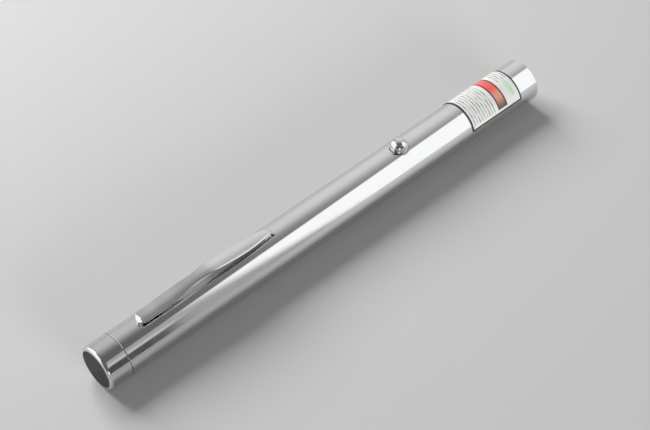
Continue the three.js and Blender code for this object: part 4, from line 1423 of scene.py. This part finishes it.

# %% [markdown]
# ## What keeps its CAD shape
#
# The board, its parts, the cradle, the diode and the crystals are already right, so they keep their
# CAD meshes. They only need a finish, and two modifiers: one joins the loose facets and one rounds
# the edges a little, without touching the mesh.

# %% Finish the rest
WELD_REACH = 0.002 * MM
SOFT_EDGE = 0.06 * MM
SOFT_EDGE_FROM = math.radians(35)


def dress(node):
    part = frame["nodes"][node]
    part.material_slots[0].material = materials[slot_of(node)]
    part.modifiers.new("join facets", "WELD").merge_threshold = WELD_REACH
    rounding = part.modifiers.new("soft edges", "BEVEL")
    rounding.width = SOFT_EDGE
    rounding.segments = 2
    rounding.limit_method = "ANGLE"
    rounding.angle_limit = SOFT_EDGE_FROM


kept = sorted(node for node, part in frame["nodes"].items() if not part.hide_render)
for node in kept:
    dress(node)
print("kept CAD nodes:", ", ".join(kept))

# %% [markdown]
# ## Floor, lamps and surroundings
#
# Chrome has almost no colour of its own: it shows the room. So the studio is designed for the
# reflections. The floor is plain and pale. One soft lamp stands behind the pen and one low in
# front, and together they light a surface at about its own colour. They could show in the chrome as
# well, but a lamp makes one hard-edged shape, so what the mirror surfaces see is painted on the
# world instead.

# %% Floor
FLOOR_COLOUR = (0.62, 0.62, 0.615)
FLOOR_HALF = 4.0


def make_floor():
    signs = ((-1, -1), (1, -1), (1, 1), (-1, 1))
    corners = [(x * FLOOR_HALF, y * FLOOR_HALF, -barrel_radius) for x, y in signs]
    mesh = new_mesh("floor", corners, [(0, 1, 2, 3)], smooth=False)
    finish = {"Base_Color": shaded(FLOOR_COLOUR), "Roughness": 0.3, "Specular_IOR_Level": 0.5}
    mesh.materials.append(new_material("floor", **finish)[0])
    floor = add_object("floor", mesh)


make_floor()
print("floor level, mm:", round(-barrel_radius / MM, 2))

# %% Lamps
# Place in mm, size in mm and power in watts
LAMPS = {
    "lamp_behind": ((70, 620, 480), 520, 8.0),
    "lamp_front": ((20, -700, 100), 300, 4.4),
}


def make_lamp(name, place, size, power):
    data = bpy.data.lights.new(name, "AREA")
    data.size = size * MM
    data.energy = power
    lamp = add_object(name, data)
    lamp.location = Vector(place) * MM
    lamp.rotation_mode = "QUATERNION"
    lamp.rotation_quaternion = (CAMERA_TARGET - lamp.location).to_track_quat("-Z", "Y")
    lamp.visible_glossy = False


for name, lamp in LAMPS.items():
    make_lamp(name, *lamp)
print("lamps:", ", ".join(LAMPS))

# %% [markdown]
# The painted surroundings work with directions, and only reflected and transmitted rays see them.
# A flat edge of a panel, seen from the pen, lies on a plane through the pen, so one dot product
# tells on which side of the edge a direction is, and a smooth step of it makes the edge soft or
# crisp. A region is the product of such steps.
#
# The wall behind is light grey, and a dark gap runs from overhead to the front. Past a slanted edge
# in front lies the large white panel, whose corner draws the long bright wedge on the tube. Beside
# it, towards the tail, is a grey side with a dark stand in a paler border. A bright window fills
# the back towards the tail, and a small lamp low in front of the tail gives small white glints.

# %% Regions of the surroundings
TO_HEAD, UPWARD = (1, 0, 0), (0, 0, 1)
BESIDE_STAND = (TO_HEAD, 0.348, 0.326)
PAST_GAP = [((0.787, -0.366, -0.496), 0.015, 0.05), ((-0.6, -0.8, 0), -0.50, -0.35)]
# An edge is its plane's normal, where its step starts and ends, and the levels there if not 0 and 1
REGIONS = {
    "wall": [(TO_HEAD, 0.22, 0.50, 0.75, 0.92), (UPWARD, -0.10, 0.35, 0.70, 1.0),
             (TO_HEAD, 0.10, 0.46, 0.70, 1.0)],
    "gap": [((0, -0.966, 0.259), -0.48, 0.42)],
    "gap level": [(TO_HEAD, 0.28, 0.54, 0.16, 0.42)],
    "past gap": PAST_GAP,
    "stand border": [BESIDE_STAND, (UPWARD, 0.72, 0.56)],
    "stand": [BESIDE_STAND, (UPWARD, 0.54, 0.42)],
    "panel": [*PAST_GAP, ((0.993, 0, 0.119), 0.417, 0.476)],
    "window": [(TO_HEAD, 0.10, -0.02), ((0, 1, 0), -0.12, -0.05), (UPWARD, 0.93, 0.85)],
    "small lamp": [((-0.53, -0.848, 0.02), 0.985, 0.994)],
}


def across_plane(tree, direction, normal, *step):
    """A soft step from one side of a plane through the pen to the other."""
    node = add_node(tree, "ShaderNodeVectorMath", operation="DOT_PRODUCT")
    plug(tree, node.inputs[0], direction)
    plug(tree, node.inputs[1], Vector(normal).normalized())
    return ramp_between(tree, node.outputs["Value"], *step)


def region_masks(tree, direction):
    return {name: product(tree, *(across_plane(tree, direction, *edge) for edge in edges))
            for name, edges in REGIONS.items()}


print("painted regions:", ", ".join(REGIONS))

# %% Surroundings
FILL = 0.12
TAIL_SIDE_LEVEL = 0.50
STAND_BORDER_LEVEL = 0.74
STAND_LEVEL = 0.10
# What is painted over the wall and the gap last, in this order
BRIGHT_LEVELS = {"panel": 1.42, "window": 1.42, "small lamp": 4}


def surroundings_level(tree):
    """How bright the room is in each direction."""
    mask = region_masks(tree, add_node(tree, "ShaderNodeTexCoord").outputs["Generated"])
    level = mix(tree, mask["gap"], mask["wall"], mask["gap level"], "FLOAT")
    side = mix(tree, mask["stand border"], TAIL_SIDE_LEVEL, STAND_BORDER_LEVEL, "FLOAT")
    side = mix(tree, mask["stand"], side, STAND_LEVEL, "FLOAT")
    level = mix(tree, mask["past gap"], level, side, "FLOAT")
    for name, bright in BRIGHT_LEVELS.items():
        level = mix(tree, mask[name], level, bright, "FLOAT")
    return level


def make_world():
    world = bpy.data.worlds.new("studio")
    bpy.context.scene.world = world
    world.use_nodes = True
    tree = world.node_tree
    background = tree.nodes["Background"]
    rays = add_node(tree, "ShaderNodeLightPath").outputs
    mirrored = math_node(tree, "MAXIMUM", rays["Is Glossy Ray"], rays["Is Transmission Ray"])
    level = mix(tree, mirrored, FILL, surroundings_level(tree), "FLOAT")
    plug(tree, background.inputs["Strength"], level)
    background.inputs["Color"].default_value = (1, 1, 1, 1)
    return tree


world_tree = make_world()
bpy.context.scene.view_settings.view_transform = "Standard"
print("nodes in the world:", len(world_tree.nodes))
